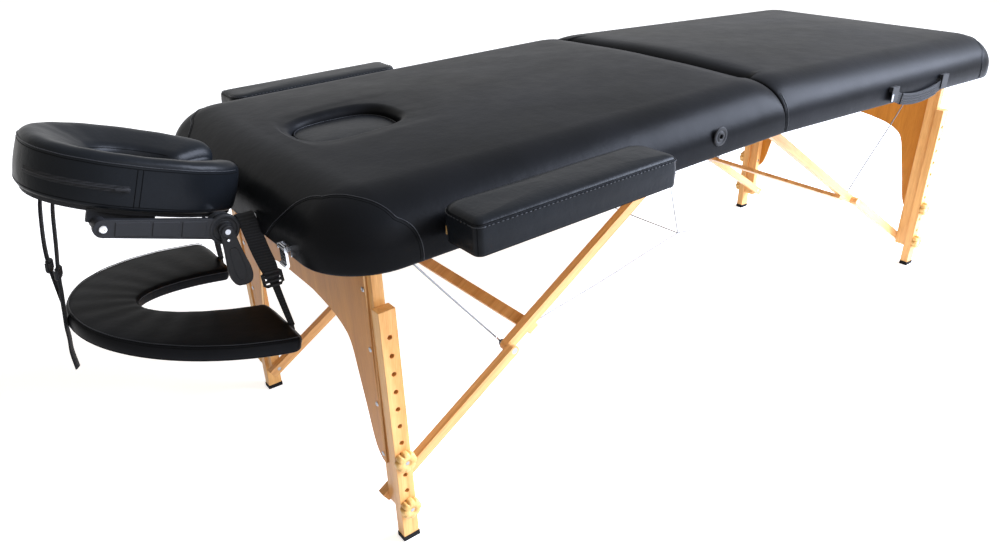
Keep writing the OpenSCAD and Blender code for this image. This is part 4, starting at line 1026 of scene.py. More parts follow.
@dataclass
class HeadPad:
    """Horseshoe face pad: an upright boss wall, a high outer ridge and a top that falls to the opening."""

    half: Half
    palette: Palette
    middle: tuple[float, float] = (1057.0, 66.7)
    tilt: float = math.radians(19.6)
    wall_seams: tuple[float, float, float] = (-76.0, -79.5, 76.0)
    zip_run: tuple[float, float] = (-73.0, -12.0)
    shape: Horseshoe = Horseshoe(
        (145.0, 108.0), (61.0, 42.0), 158.0, 20.0, 0.85,
        ((0.99, 8.0), (1.02, 28.0), (1.0, 50.0), (0.965, 60.5), (0.87, 67.5), (0.66, 71.6), (0.34, 70.6),
         (-0.04, 66.0), (-0.42, 60.5), (-0.76, 54.5), (-0.96, 45.0), (-1.02, 28.0), (-1.0, 11.0), (-0.94, 3.0),
         (-0.78, 0.5), (0.0, 0.3), (0.8, 0.5), (0.95, 2.6)), 0.3, 2.5)

    def place(self, surface: Array) -> Array:
        """Puts pad millimetres, u from its middle, y and height, on the tilted platform."""
        u, y, h = np.moveaxis(surface, -1, 0)
        c, s = math.cos(self.tilt), math.sin(self.tilt)
        return self.half.world(self.middle[0] + u * c - h * s, y, self.middle[1] + u * s + h * c)

    def build(self) -> list[Piece]:
        """Makes the pad, its seams and the zip in its side."""
        grid = self.shape.grid(120)
        t = np.linspace(-1, 1, len(grid))[:, None]
        ripple = 0.4 * np.sin(31 * t) * np.sin(17 * t + 1) * np.clip((grid[..., 2] - 40) / 30, 0, 1)
        grid[..., 2] += ripple * np.clip(1 - np.abs(t) ** 8, 0, 1)
        surface = self.place(grid)
        pad = Skin().grid(surface).to_object("head_pad", [self.palette.pad_leather])
        normals = grid_normals(surface)
        top, low, inner = (self.shape.column(grid, *spot) for spot in ((0.985, 57.0), (1.0, 6.0), (-0.9, 50.0)))
        rows = slice(8, len(grid) - 8)
        lines = [(surface[rows, k], normals[rows, k]) for k in (top, low, inner)]
        columns = grid.shape[1]
        start, span = min(((low, (top - low) % columns), (top, (low - top) % columns)), key=lambda run: run[1])
        wall = (start + np.arange(span + 1)) % columns
        for bearing in self.wall_seams:
            row = self.row_at(grid, bearing)
            lines.append((surface[row, wall], normals[row, wall]))
        seams = dress_seam("head_pad_seams", lines, self.palette, 0.0038, stitched=1)
        made = hang("head_rest_platform", "cover", pad, seams, self.zip(grid, surface, normals), node="cradle_pad")
        return made

    @staticmethod
    def row_at(grid: Array, bearing: float) -> int:
        """Number of the station whose outer wall lies at a bearing in degrees."""
        found = np.degrees(np.arctan2(grid[:, 0, 1], grid[:, 0, 0]))
        return int(np.abs(found - bearing).argmin())

    def zip(self, grid: Array, surface: Array, normals: Array) -> Piece:
        """Makes the zip along the side wall: its tape, a line of teeth, the slider and a small pull."""
        column = self.shape.column(grid, 1.015, 31.0)
        rows = np.arange(*(self.row_at(grid, bearing) for bearing in self.zip_run))
        path, up = surface[rows, column], normals[rows, column]
        across = np.cross(along(path), up)
        skin = Skin().grid(ribbon(path - up * 0.0004, across, 0.009, 0.0014))
        for tooth in stitches(path, up, 0.0, pitch=0.003, length=0.0016, radius=0.0009):
            skin.grid(tooth, slot=1)
        end, out, run = path[0], up[0], along(path)[0]
        for lift, steps, widths, thickness in (
                (0.0016, (0.0, 0.003, 0.006, 0.009), (0.004, 0.006, 0.006, 0.003), 0.0024),
                (0.0028, (0.002, 0.006, 0.012, 0.018), (0.002, 0.003, 0.004, 0.0034), 0.001)):
            line = end + out * lift + run * np.array(steps)[:, None]
            skin.grid(ribbon(line, across[0], np.array(widths), thickness), slot=1)
        return skin.to_object("head_pad_zip", [self.palette.webbing, self.palette.plastic], STRAP_CREASE)


@dataclass
class ArmShelf:
    """Flat padded horseshoe below the head rest, its tips cut square towards the table."""

    palette: Palette
    place_x: float
    pitch: float = math.radians(8.6)
    thick: float = 22.0
    shape: Horseshoe = Horseshoe(
        (SHELF_LENGTH, 214.0), (169.0, 75.0), 90.0, 5.0, 1.0,
        ((0.985, 4.0), (1.0, 10.0), (0.99, 16.0), (0.955, 20.0), (0.86, 22.3), (0.4, 23.6), (-0.4, 23.6),
         (-0.86, 22.3), (-0.955, 20.0), (-0.99, 16.0), (-1.0, 10.0), (-0.985, 4.0), (-0.94, 1.0), (-0.8, 0.2),
         (0.0, 0.2), (0.8, 0.2), (0.94, 1.0)), 0.55, 3.0)

    def place(self, surface: Array) -> Array:
        """Puts shelf millimetres, from the square tips outwards, below the head rest."""
        u, y, h = np.moveaxis(surface - [SHELF_LENGTH / 2, 0.0, self.thick], -1, 0)
        c, s = math.cos(self.pitch), math.sin(self.pitch)
        return np.stack([self.place_x - SHELF_OUT - (u * c - h * s), y, SHELF_Z + u * s + h * c], -1) * MM

    def build(self) -> list[Piece]:
        """Makes the shelf pad with its edge seams."""
        grid = self.shape.grid(110)
        t = np.linspace(-1, 1, len(grid))[:, None]
        grid[..., 2] += 0.5 * np.sin(19 * t + 1) * np.sin(27 * t) * np.clip((grid[..., 2] - 18) / 5, 0, 1)
        surface = self.place(grid)
        pad = Skin().grid(surface).to_object("arm_shelf_pad", [self.palette.leather])
        normals = grid_normals(surface)
        rows = slice(4, len(grid) - 4)
        columns = [self.shape.column(grid, *spot) for spot in ((0.95, 20.5), (-0.95, 20.5), (0.98, 4.0))]
        lines = [(surface[rows, k], normals[rows, k]) for k in columns]
        seams = dress_seam("arm_shelf_seams", lines, self.palette, 0.0045, stitched=2)
        made = hang("head_rest_slide", "cover", pad, seams, node="arm_shelf")
        return made


@dataclass
class ShelfStraps:
    """Webbing that hangs the arm shelf: wide straps over the rods and a pair at the outer end."""

    half: Half
    palette: Palette
    place_x: float
    rod: tuple[float, float, float] = (940.0, 104.0, 22.5)
    end: float = -(SHELF_OUT + SHELF_LENGTH / 2 + 2.0)
    rod_loops: Pairs = ((0.0078, 0.027), (0.0094, 0.026))
    outer_across: tuple[float, float, float] = (0.5, 0.85, 0.0)
    frame_corners: Pairs = ((-1, -0.8), (-0.8, -1), (0.8, -1), (1, -0.8), (1, 0.8), (0.8, 1), (-0.8, 1), (-1, 0.8))

    def at(self, points: Sequence[Sequence[float]] | Sequence[float], flip: int = 1) -> Array:
        """Turns millimetres from the hinge line, or their mirror image, into metres of the whole table."""
        return (np.array(points) * [1, flip, 1] + [self.place_x, 0, 0]) * MM

    def build(self) -> list[Piece]:
        """Makes the inner straps, the outer pair with its tail, and their ladder buckles."""
        front, rear, outer = self.inner(Side.FRONT), self.inner(Side.REAR), self.outer()
        made = hang("head_rest_slide", "webbing", front, rear, outer, node="shelf_straps")
        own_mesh(outer)
        return made + hang("head_rest_slide", "black_plastic", self.buckles(), node="strap_buckles")

    def inner(self, side: Side) -> Piece:
        """Makes one inner strap: twice round the rod, down to its buckle, then narrow to the shelf's tip."""
        skin, flip = Skin(), side.value
        centre = self.half.world(self.rod[0], flip * self.rod[1], self.rod[2])
        angle = np.linspace(0, FULL_TURN, 40)
        for turn, width in self.rod_loops:
            loop = centre + np.stack([0 * angle + 0.001, turn * np.cos(angle) * flip, turn * np.sin(angle)], -1)
            skin.grid(ribbon(loop, (1.0, 0.0, 0.0), width, 0.0016))
        path = smooth_path(self.at(((-938, 111, 545), (-936, 113, 536), (-929, 118, 500), (-921, 124, 466),
                                    (-917, 130, 436), (-913, 140, 405), (-909.5, 148, 380)), flip), 40)
        width = np.interp(np.linspace(0, 1, 40), [0, 0.45, 0.56, 0.62, 1.0], [0.027, 0.026, 0.020, 0.011, 0.009])
        skin.grid(ribbon(path, (1.0, 0.15 * flip, 0.0), width, 0.002))
        tab = smooth_path(self.at(((-909.5, 148, 384), (-909.2, 148, 374), (-912, 148, 369)), flip), 8)
        skin.grid(ribbon(tab, (0.0, 1.0, 0.0), 0.012, 0.0022))
        return skin.to_object(f"shelf_strap_{side.name.lower()}", [self.palette.webbing], STRAP_CREASE)

    def outer(self) -> Piece:
        """Makes the two outer strands, joined below their buckles, and the tail that hangs past the shelf."""
        skin, end = Skin(), self.end
        for flip, out in ((-1, 0.0), (1, 11.0)):
            strand = smooth_path(self.at(((end + 24 - out, 12, 607), (end + 19 - out, 12, 588),
                                          (end + 12 - out, 11, 540), (end + 6 - 0.6 * out, 8.5, 499 + 0.6 * out),
                                          (end + 2, 3.5, 452)), flip), 30)
            skin.grid(ribbon(strand, self.outer_across, 0.0105, 0.002))
        join = smooth_path(self.at(((end + 4, 0, 470), (end + 1, 0, 440), (end - 1.6, 0, 415), (end - 2.2, 0, 394),
                                    (end - 4, -1, 372), (end - 3, -6, 346))), 40)
        width = np.interp(np.linspace(0, 1, 40), [0, 0.3, 0.6, 1], [0.014, 0.012, 0.013, 0.015])
        skin.grid(ribbon(join, (0.45, 0.9, 0.0), width, 0.0024))
        return skin.to_object("shelf_strap_outer", [self.palette.webbing], STRAP_CREASE)

    def buckles(self) -> Piece:
        """Makes the four ladder buckles: a frame with two bars that the webbing threads."""
        skin = Skin()
        for low in (True, False):
            for f in (-1, 1):
                if low:
                    centre = self.at((-920.3, f * 126.5, 455))
                    run, across, width, height = (0.03, 0.25 * f, -1.0), (1.0, 0.15 * f, 0.0), 0.027, 0.021
                else:
                    centre = self.at((self.end + 2.7 - 3.3 * f, f * 8.5, 502.3 + 3.3 * f))
                    run, across, width, height = (0.1, 0.06 * f, 1.0), self.outer_across, 0.0155, 0.014
                run = run / np.linalg.norm(run)
                across = across - (across @ run) * run
                across /= np.linalg.norm(across)
                corners = np.array(self.frame_corners) @ np.stack([across * width, run * height]) / 2
                skin.grid(tube(centre + corners, 0.0026, 8, closed=True), looped=True)
                for b in (-0.35, 0.35):
                    bar = np.array([(-1, b), (0, b), (1, b)]) @ np.stack([across * width, run * height]) / 2
                    skin.grid(tube(centre + bar, 0.0024, 8))
        return skin.to_object("ladder_buckles", [self.palette.plastic], STRAP_CREASE)


@dataclass
class ClampKnobs:
    """The eight lobed wooden knobs of the leg clamps, each with its steel bolt."""

    halves: dict[End, Half]
    palette: Palette
    leg_u: float = 824.0
    seat_y: float = 285.1
    levels: tuple[tuple[str, float, float], ...] = (("upper", -362.0, 239.0), ("lower", -458.0, 222.5))
    profile: Pairs = ((2.0, 0.0), (14.5, 0.0), (17.0, 0.7), (18.0, 2.4), (18.1, 6.5), (17.8, 9.8), (16.4, 12.2),
                      (14.0, 13.2), (8.5, 13.6), (6.0, 13.2), (5.2, 12.2), (4.6, 12.0), (0.2, 12.0))

    def build(self) -> list[Piece]:
        """Makes every knob from a turned profile whose radius dips at eight notches."""
        made = []
        notch = (0.5 - 0.5 * np.cos(8 * round_angles(96))) ** 5
        lobes = 1 - 0.2 * notch * np.clip((np.array(self.profile)[:, :1] - 11) / 6, 0, 1)
        for end in End:
            for side in Side:
                for level, w, inner in self.levels:
                    name = f"{end.name.lower()}_knob_{side.name.lower()}_{level}"
                    centre = self.halves[end].world(self.leg_u, side.value * self.seat_y, w)
                    stop = inner - self.seat_y
                    bolt = ((0.2, 12.6), (2.6, 12.6), (3.4, 12.2), (3.6, 11.0), (3.9, 9.0), (3.9, 0.0), (3.9, stop),
                            (3.2, stop - 0.4), (0.2, stop - 0.4))
                    skin = Skin().turn(self.profile, centre, side.out, 96, lobes=lobes)
                    skin.turn(bolt, centre, side.out, 24, slot=1)
                    knob = skin.to_object(name + "_turned", [self.palette.knob, self.palette.steel], 50)
                    made += hang(name, "beech", knob, node=name)
        return made


@dataclass
class LegPanel:
    """Shaped plywood panel across one pair of legs, with its smooth arch, veneered edge and screws."""

    half: Half
    palette: Palette
    half_w: float = 252.0
    top_drop: float = 34.0
    arch_drop: float = 146.0
    low_drop: float = 385.0
    thick: float = 5.0
    screw_y: float = 246.0
    screw_w: tuple[float, ...] = (-70.0, -172.0, -271.0, -368.0)
    shares: Pairs = (
        (0, 0), (0.22, 0), (0.47, 0.04), (0.58, 0.075), (0.65, 0.11), (0.7, 0.155), (0.735, 0.23), (0.762, 0.345),
        (0.825, 0.615), (0.873, 0.84), (0.91, 0.935), (0.955, 0.985), (1, 1))
    screw: Pairs = ((0.2, -6.0), (1.6, -6.0), (1.8, 0.0), (3.9, 0.0), (4.0, 0.4), (3.4, 1.2), (1.4, 1.5), (1.0, 0.7),
                    (0.2, 0.6))

    def build(self) -> list[Piece]:
        """Makes the panel with its arch as a smooth curve through the shares, then its screws."""
        tag, back = self.half.tag, PANEL_U + self.thick
        share = smooth_path(self.shares, 90)
        drop = self.arch_drop + (self.low_drop - self.arch_drop) * np.clip(share[:, 1], 0, 1)
        arch = np.stack([share[:, 0] * self.half_w, -drop], 1)
        right = np.concatenate([arch, [[self.half_w, -self.top_drop]]])
        outline = np.concatenate([right, right[::-1][:-1] * [-1, 1]])
        skin = Skin().slab(outline, PANEL_U, back, lambda y, w, u: self.half.world(u, y, w), edge_slot=1)
        panel = skin.to_object(f"{tag}_leg_panel", [self.palette.ply, self.palette.ply_edge], 30, 0.0005)
        screws = Skin()
        out = self.half.world(1.0, 0.0, 0.0) - self.half.world(0.0, 0.0, 0.0)
        for y in (-self.screw_y, self.screw_y):
            for w in self.screw_w:
                screws.turn(self.screw, self.half.world(back, y, w), out, 18)
        heads = screws.to_object(f"{tag}_panel_screws", [self.palette.steel], 35)
        return hang(f"{tag}_leg", "ply", panel, node=f"{tag}_panel") + hang(f"{tag}_leg", "steel", heads)


@dataclass
class CradleHardware:
    """Arms, hubs and cam lever of the head rest, with their bolts."""

    half: Half
    palette: Palette
    hub: tuple[float, float] = (974.0, 22.5)
    tip: tuple[float, float] = (1123.0, 68.0)
    arm_y: float = 110.8
    arm_t: float = 10.0
    lever_y: float = 121.1
    lean: float = 0.12
    disc: Pairs = ((0.2, 0.0), (20.6, 0.0), (22.0, 1.2), (22.0, 8.4), (20.4, 10.0), (17.4, 10.0), (16.6, 8.8),
                   (12.0, 8.8), (11.4, 10.2), (0.2, 10.2))
    lever_half: Pairs = ((10.5, 4), (10.2, -12), (11.5, -28), (14.2, -48), (16.2, -64), (15.0, -77), (10.0, -85.5),
                         (0, -88))
    lever_dip: Pairs = ((0, -26), (5.5, -30), (7.5, -48), (8.0, -64), (5.0, -76), (0, -79))
    boss: Pairs = ((0.2, 7.0), (9.0, 7.0), (9.0, 10.4), (8.0, 11.4), (4.0, 11.4), (3.6, 10.4), (0.2, 10.4))
    pin: Pairs = ((0.2, 6.0), (2.2, 6.0), (2.2, 9.4), (1.8, 10.0), (0.2, 10.2))
    rivet: Pairs = ((0.2, 7.0), (5.2, 7.0), (5.2, 10.6), (4.4, 11.7), (1.8, 12.0), (1.5, 11.0), (0.2, 11.0))

    def build(self) -> list[Piece]:
        """Makes the two arms, the cam lever and the bright bolts."""
        arms, lever, bolts = self.arms(), self.lever(), self.bolts()
        return (hang("head_rest_arms", "black_plastic", arms, node="cradle_arms")
                + hang("head_rest_lever", "black_plastic", lever, node="cradle_cam_lever")
                + hang("head_rest_arms", "steel", bolts))

    def arms(self) -> Piece:
        """Makes both arms as tapered plates with a round hub, a raised rim and three raised panels."""
        du, dw = self.tip[0] - self.hub[0], self.tip[1] - self.hub[1]
        length, slope = math.hypot(du, dw), math.atan2(dw, du)
        skin = Skin()

        def outline(shrink: float, start: float, stop: float) -> Array:
            """Outline of the arm between two distances from the hub, drawn in by a margin."""
            s = np.linspace(start, stop, 12)
            half_h = np.interp(s, [0, length], [15.0, 12.0]) - shrink
            return np.concatenate([np.stack([s, half_h], 1), np.stack([s, -half_h], 1)[::-1]])

        end = np.radians(np.linspace(90, -90, 14))
        tip = np.stack([length + 12 * np.cos(end), 12 * np.sin(end)], 1)
        whole = np.insert(outline(0, 0, length), 12, tip, axis=0)
        for side in Side:
            def place(a: Array, b: Array, y: Array, side: Side = side) -> Array:
                """Puts arm millimetres, along and across, at a distance from the middle."""
                u = self.hub[0] + a * math.cos(slope) - b * math.sin(slope)
                return self.half.world(u, side.value * y, self.hub[1] + a * math.sin(slope) + b * math.cos(slope))

            skin.slab(whole, self.arm_y + 0.6, self.arm_y + self.arm_t - 0.9, place)
            for start, stop in ((26, 58), (62, 96), (100, length - 14)):
                skin.slab(outline(3.2, start, stop), self.arm_y + 4, self.arm_y + self.arm_t, place)
            centre = self.half.world(self.hub[0], side.value * self.arm_y, self.hub[1])
            skin.turn(self.disc, centre, side.out, 48)
        return skin.to_object("head_rest_arms_moulded", [self.palette.plastic], 32, 0.0007)

    def lever(self) -> Piece:
        """Makes the cam lever: a round root, a tongue that widens to a soft tip, a finger dip and a pin."""
        cap = np.radians(np.linspace(158, 22, 14))
        tongue = mirrored(smooth_path(self.lever_half, 40))
        outline = np.concatenate([tongue, np.stack([11.3 * np.cos(cap), 11.3 * np.sin(cap)], 1)])

        def place(a: Array, b: Array, y: Array) -> Array:
            """Puts lever millimetres beside the front hub."""
            return self.half.world(self.hub[0] - a + b * self.lean, -y, self.hub[1] + b)

        skin = Skin().slab(outline, self.lever_y + 0.4, self.lever_y + 7.6, place)
        skin.slab(mirrored(smooth_path(self.lever_dip, 26), 1), self.lever_y + 7.0, self.lever_y + 8.4, place)
        for profile, du, dw, sides, slot in ((self.boss, 0.0, 0.0, 32, 0), (self.pin, 1.0, -13.0, 18, 1)):
            centre = self.half.world(self.hub[0] + du, -self.lever_y, self.hub[1] + dw)
            skin.turn(profile, centre, Side.FRONT.out, sides, slot)
        return skin.to_object("head_rest_cam_lever", [self.palette.plastic, self.palette.chrome], 32, 0.0009)

    def bolts(self) -> Piece:
        """Makes the bright rivet at the outer end of each arm."""
        skin = Skin()
        for side in Side:
            skin.turn(self.rivet, self.half.world(self.tip[0], side.value * self.arm_y, self.tip[1]), side.out, 24)
        return skin.to_object("head_rest_arm_bolts", [self.palette.chrome], 35)


@dataclass
class SideGrommets:
    """Round sockets in the long sides of the head section, for the armrest pins."""

    half: Half
    palette: Palette
    places: tuple[float, ...] = (190.0, 478.0, 678.0)
    seat_y: float = 350.0
    level_w: float = 36.0
    profile: Pairs = ((4.0, -36.0), (8.0, -36.0), (8.0, -1.0), (16.0, -1.0), (17.0, 0.2), (16.6, 1.8), (14.4, 3.0),
                      (11.6, 2.6), (9.6, 1.6), (7.6, 2.8), (5.2, 3.0), (4.0, 1.8))

    def build(self) -> list[Piece]:
        """Makes each socket as a turned ring with a rolled flange and an open bore."""
        skin = Skin()
        for u in self.places:
            for side in Side:
                at = self.half.world(u, side.value * self.seat_y, self.level_w)
                skin.turn(self.profile, at, side.out, 40, looped=True)
        made = skin.to_object("side_sockets", [self.palette.plastic], 40)
        return hang("table_head", "black_plastic", made, node="side_grommets")


@dataclass
class CarryHandle:
    """Webbing handle under the front edge of the foot section, with its two loops."""

    half: Half
    palette: Palette
    start_u: float = 380.0
    length: float = 220.0
    hang_w: float = 27.0
    strap_y: float = -355.6
    rib_y: float = -358.4
    rib_levels: tuple[float, ...] = (-8.5, -3.0, 3.0, 8.5)

    def build(self) -> list[Piece]:
        """Makes the padded handle strap, ribbed by its rows of stitching, and the loops that hold it."""
        s = np.linspace(0, 1, 48)
        fall = self.hang_w - self.hang_w * np.sin(math.pi * s) ** 0.45
        u = self.start_u + self.length * s
        skin = Skin()
        for width, thickness, share in ((0.023, 0.0026, slice(None)), (0.0245, 0.0062, slice(7, 41))):
            skin.grid(ribbon(self.half.world(u, self.strap_y, fall)[share], self.half.up, width, thickness))
        for level in self.rib_levels:
            skin.grid(tube(self.half.world(u, self.rib_y, level + fall)[8:40], 0.0011, 6))
        strap = skin.to_object("carry_strap", [self.palette.webbing], STRAP_CREASE)
        clips = Skin()
        block = np.array([(-14, 6), (14, 6), (14, 38), (-14, 38)], float)
        core = np.array([(-13, 8), (-7, 8), (-7, 22), (-13, 22)], float)
        plates = ((block, 357.6, 359.2, 0), (block * [1, 0.3] + [0, 26.5], 350.3, 358.0, 0), (core, 359.0, 360.2, 1))
        for u0, count in ((self.start_u, 3), (self.start_u + self.length, 2)):
            for outline, low, high, slot in plates[:count]:
                clips.slab(outline, low, high, lambda a, w, y, u0=u0: self.half.world(u0 + a, -y, w), slot)
        loops = clips.to_object("carry_strap_loops", [self.palette.plastic, self.palette.steel], 35, 0.0008)
        return (hang("foot_half", "webbing", strap, node="handle_strap")
                + hang("foot_half", "black_plastic", loops, node="handle_fittings"))


@dataclass
class StayCables:
    """Bright steel stay cables between the elbows, the rings under the hinge and the frames."""

    halves: dict[End, Half]
    palette: Palette
    place_x: float
    ring: tuple[float, float, float] = (-8.0, 131.0, 272.0)
    cable_y: float = 199.1
    frame_end: tuple[float, float, float] = (PANEL_U, 225.0, 51.5)
    hinge_end: tuple[float, float, float] = (107.0, 131.0, 52.0)
    thin: float = 0.0011
    thick: float = 0.0016

    def build(self) -> list[Piece]:
        """Makes the head half's cables and the foot half's, each with their end fittings."""
        made = []
        rings = {flip: (np.array(self.ring) * [1, flip, 1] + [self.place_x, 0, 0]) * MM for flip in (-1, 1)}
        for end, body in ((End.HEAD, "table_head"), (End.FOOT, "foot_half")):
            half, skin = self.halves[end], Skin()
            for flip, ring in rings.items():
                elbow = half.world(ELBOW_U, flip * self.cable_y, ELBOW_W)
                top = half.put(np.array(self.frame_end) * [1, flip, 1])
                self.run(skin, elbow, ring, self.thin)
                self.run(skin, elbow, top, self.thick)
                if end is End.HEAD:
                    self.run(skin, ring, half.put(np.array(self.hinge_end) * [1, flip, 1]), self.thin)
                    turn = round_angles(28)
                    hoop = ring + 0.005 * np.stack([np.cos(turn), 0 * turn, np.sin(turn)], -1)
                    skin.grid(tube(hoop, self.thin, 8, closed=True), looped=True, slot=1)
                self.fitting(skin, elbow, ring)
                self.fitting(skin, elbow, top)
            if end is End.HEAD:
                self.run(skin, rings[-1], rings[1], self.thin)
            cables = skin.to_object(f"{half.tag}_stay_cables", [self.palette.cable, self.palette.chrome], STRAP_CREASE)
            made += hang(body, "steel", cables, node="support_cables")
            tuple(half.up / np.linalg.norm(half.up))
            tuple(half.world(500.0, 0.0, 40.0))
            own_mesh(cables)
        return made

    @staticmethod
    def run(skin: Skin, start: Array, stop: Array, radius: float) -> None:
        """Adds one cable with a slight wave, as a light cable has under little load."""
        t = np.linspace(0, 1, 60)[:, None]
        sag = np.array([0.0, 0.0, -0.0018]) * np.sin(math.pi * t) + np.array([0.0, 0.0008, 0.0]) * np.sin(9 * t)
        skin.grid(tube(start + (stop - start) * t + sag * np.sin(math.pi * t), radius, 8))

    @staticmethod
    def fitting(skin: Skin, at: Array, towards: Array) -> None:
        """Adds the eye on the elbow bolt and the pressed sleeve over the cable's end."""
        run = (towards - at) / np.linalg.norm(towards - at)
        sleeve = at + run * np.array([[0.008], [0.0085], [0.012], [0.019], [0.0225], [0.023]])
        skin.grid(tube(sleeve, np.array([0.0012, 0.0022, 0.0025, 0.0025, 0.0022, 0.0012]), 12), slot=1)
        turn = round_angles(24)[:, None]
        loop = at + 0.0052 * (np.cos(turn) * run + np.sin(turn) * np.cross(run, [0.0, 1.0, 0.0]))
        skin.grid(tube(loop, 0.0012, 8, closed=True), looped=True)


@dataclass
class BraceFixings:
    """Nuts and washers on the inner ends of the elbow bolts."""

    halves: dict[End, Half]
    palette: Palette
    seat_y: float = 206.0
    washer: Pairs = ((0.2, 0.2), (7.4, 0.2), (7.4, 1.4), (0.2, 1.4))
    nut: Pairs = ((0.2, 1.4), (5.4, 1.4), (5.6, 2.0), (5.6, 4.6), (5.0, 5.2), (3.0, 5.2), (3.0, 6.4), (2.6, 6.8),
                  (0.2, 6.8))

    def build(self) -> list[Piece]:
        """Makes the inner nut of each elbow bolt, riding with the upper braces."""
        made = []
        hexagon = 0.96 / np.cos((round_angles(48) + math.pi / 6) % (math.pi / 3) - math.pi / 6)
        for half in self.halves.values():
            skin = Skin()
            for side in Side:
                at = half.world(ELBOW_U, side.value * self.seat_y, ELBOW_W)
                skin.turn(self.washer, at, -side.out, 32)
                skin.turn(self.nut, at, -side.out, 48, lobes=hexagon)
            nuts = skin.to_object(f"{half.tag}_elbow_nuts", [self.palette.steel], 30)
            made += hang(f"{half.tag}_upper_brace", "steel", nuts)
        return made


@dataclass
class KeptWoodAndSteel:
    """Dresses the solids that keep their own shape: rails, boards, legs, braces, rods and plates."""

    nodes: dict[str, Piece]
    palette: Palette

    def finish_of(self, name: str) -> Material:
        """Picks the finish of one solid from what it is."""
        p = self.palette
        rules = ((("head_upper_braces", "head_lower_braces"), p.beech_head), (("_braces",), p.beech_foot),
                 (("leg_frame", "extension"), p.beech), (("knob",), p.knob), (("cap_",), p.rubber),
                 (("panel",), p.ply), (("cradle_base",), p.steel), (("deck", "_base"), p.board),
                 (("_frame",), p.rail),
                 (("cradle_platform", "grommets", "fittings", "buckles", "arms", "lever"), p.plastic),
                 (("latch", "pins"), p.chrome), (("strap",), p.webbing),
                 (("cushion", "_pad", "plug", "arm_shelf"), p.leather))
        return next((material for words, material in rules if any(word in name for word in words)), p.steel)

    def dress(self) -> None:
        """Gives each solid its finish on its object's own slots."""
        for name, piece in self.nodes.items():
            material = self.finish_of(name)
            if not piece.material_slots:
                piece.data.materials.append(None)
            for slot in piece.material_slots:
                slot.link = "OBJECT"
                slot.material = material
            LOG.info("dressed %s in %s", name, material.name)


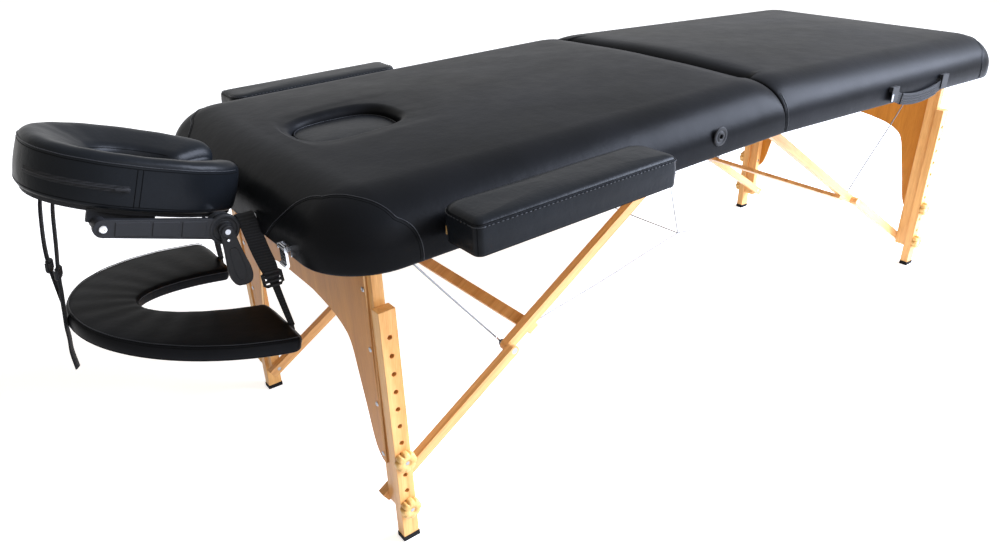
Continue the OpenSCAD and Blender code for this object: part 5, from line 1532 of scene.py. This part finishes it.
@dataclass(frozen=True)
class Studio:
    """The pale floor, the soft lamps and the camera at the photograph's viewing angle."""

    place_x: float
    eye: tuple[float, float, float] = (-1.28432, -1.15700, 0.98336)
    azimuth: float = -37.5544
    elevation: float = 25.6197
    roll: float = -0.7676
    lens: float = 28.453
    sensor: float = 36.0
    clip: tuple[float, float] = (0.05, 60.0)
    shift: tuple[float, float] = (-0.0027, -0.0190)
    aim_z: float = 0.4
    room: float = 0.33
    floor_glow: float = 0.70
    floor_half: float = 14.0
    floor_z: float = -0.0006
    lamps: tuple[tuple[str, tuple[float, float, float], float, float, str], ...] = (
        ("key_softbox", (0.0, -3.6, 2.2), 2.6, 42.0, "fff8ee"),
        ("right_softbox", (2.8, -1.9, 2.45), 2.4, 600.0, "dfe9ff"),
        ("left_softbox", (-3.2, -0.6, 2.0), 2.4, 3.0, "fff6ea"),
        ("top_softbox", (0.0, 0.4, 3.4), 3.0, 8.0, "ffffff"))

    def build(self) -> None:
        """Makes the camera, lamps, world and floor."""
        self.camera()
        self.world()
        self.floor()
        for name, at, size, watts, colour in self.lamps:
            lamp = bpy.data.lights.new(name, "AREA")
            lamp.size, lamp.energy, lamp.color = size, watts, linear(colour)[:3]
            made = bpy.data.objects.new(name, lamp)
            made.location = at
            x, y, z = np.subtract((0.0, 0.0, self.aim_z), at)
            made.rotation_euler = (math.acos(-z / math.hypot(x, y, z)), 0.0, math.atan2(-x, y))
            bpy.context.scene.collection.objects.link(made)

    def camera(self) -> None:
        """Puts the camera where the photograph was taken from."""
        a, e, r = (math.radians(v) for v in (self.azimuth, self.elevation, self.roll))
        back = np.array([math.sin(a) * math.cos(e), -math.cos(a) * math.cos(e), math.sin(e)])
        right = np.cross(-back, [0.0, 0.0, 1.0])
        right /= np.linalg.norm(right)
        up = np.cross(right, -back)
        right, up = math.cos(r) * right + math.sin(r) * up, -math.sin(r) * right + math.cos(r) * up
        data = bpy.data.cameras.new("photo_camera")
        data.lens, data.sensor_width, data.sensor_fit = self.lens, self.sensor, "HORIZONTAL"
        data.shift_x, data.shift_y = self.shift
        data.clip_start, data.clip_end = self.clip
        camera = bpy.data.objects.new("photo_camera", data)
        turn = Matrix(np.stack([right, up, back], 1).tolist()).to_4x4()
        camera.matrix_world = Matrix.Translation((self.eye[0] + self.place_x * MM, self.eye[1], self.eye[2])) @ turn
        bpy.context.scene.collection.objects.link(camera)
        bpy.context.scene.camera = camera

    @staticmethod
    def seen(tree: bpy.types.NodeTree, *rays: str) -> Socket:
        """Gives 1 for the named kinds of ray and 0 for the others."""
        path = add_node(tree, "ShaderNodeLightPath").outputs
        found = path[rays[0]]
        for ray in rays[1:]:
            found = add_node(tree, "ShaderNodeMath", {"operation": "MAXIMUM"}, {0: found, 1: path[ray]}).outputs[0]
        return found

    def world(self) -> None:
        """Lights softly from all round, while the camera, gloss and glass see plain white."""
        world = bpy.data.worlds.new("soft_room")
        world.use_nodes = True
        tree = world.node_tree
        tree.nodes.clear()
        seen = self.seen(tree, "Is Camera Ray", "Is Glossy Ray", "Is Transmission Ray")
        room = add_node(tree, "ShaderNodeBackground", {"Color": linear("f6e9d6"), "Strength": self.room})
        white = add_node(tree, "ShaderNodeBackground", {"Color": (1, 1, 1, 1), "Strength": 1.0})
        mix = add_node(tree, "ShaderNodeMixShader", links={0: seen, 1: room.outputs[0], 2: white.outputs[0]})
        add_node(tree, "ShaderNodeOutputWorld", links={"Surface": mix.outputs[0]})
        bpy.context.scene.world = world

    def floor(self) -> None:
        """Makes the plain pale floor, which keeps the table's soft shadow."""
        graph = Graph("painted_floor")
        paint = add_node(graph.tree, "ShaderNodeBsdfDiffuse", {"Color": linear("f4f4f4")}).outputs[0]
        glow = add_node(graph.tree, "ShaderNodeEmission", {"Color": (1, 1, 1, 1), "Strength": self.floor_glow})
        seen = self.seen(graph.tree, "Is Camera Ray", "Is Glossy Ray")
        lit = add_node(graph.tree, "ShaderNodeAddShader", links={0: paint, 1: glow.outputs[0]}).outputs[0]
        both = add_node(graph.tree, "ShaderNodeMixShader", links={0: seen, 1: paint, 2: lit})
        mesh = bpy.data.meshes.new("studio_floor")
        h = self.floor_half
        mesh.from_pydata([(-h, -h, 0), (h, -h, 0), (h, h, 0), (-h, h, 0)], [], [(0, 1, 2, 3)])
        mesh.materials.append(graph.finish(both))
        made = bpy.data.objects.new("studio_floor", mesh)
        made.location = (0, 0, self.floor_z)
        bpy.context.scene.collection.objects.link(made)


def main() -> None:
    """Builds and dresses the whole table."""
    logging.basicConfig(level=logging.INFO, format="%(message)s")
    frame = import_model()
    bpy.context.scene.view_settings.view_transform = "Standard"
    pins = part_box("centre_hinge_pins")
    place_x = (pins[0][0] + pins[1][0]) / 2 / MM
    halves = {end: Half(end, place_x) for end in End}
    head, foot = halves[End.HEAD], halves[End.FOOT]
    Studio(place_x).build()
    palette = Palette()
    KeptWoodAndSteel(frame["nodes"], palette).dress()
    builders = [PaddedSection(head, palette), PaddedSection(foot, palette), FacePlug(head, palette),
                Armrest(head, palette, Side.FRONT), Armrest(head, palette, Side.REAR), HeadPad(head, palette),
                ArmShelf(palette, place_x), ShelfStraps(head, palette, place_x), ClampKnobs(halves, palette),
                LegPanel(head, palette), LegPanel(foot, palette), CradleHardware(head, palette),
                SideGrommets(head, palette), CarryHandle(foot, palette), StayCables(halves, palette, place_x),
                BraceFixings(halves, palette)]
    for builder in builders:
        for piece in builder.build():
            LOG.info("made %s with %d faces", piece.name, len(piece.data.polygons))


if __name__ == "__main__":
    main()
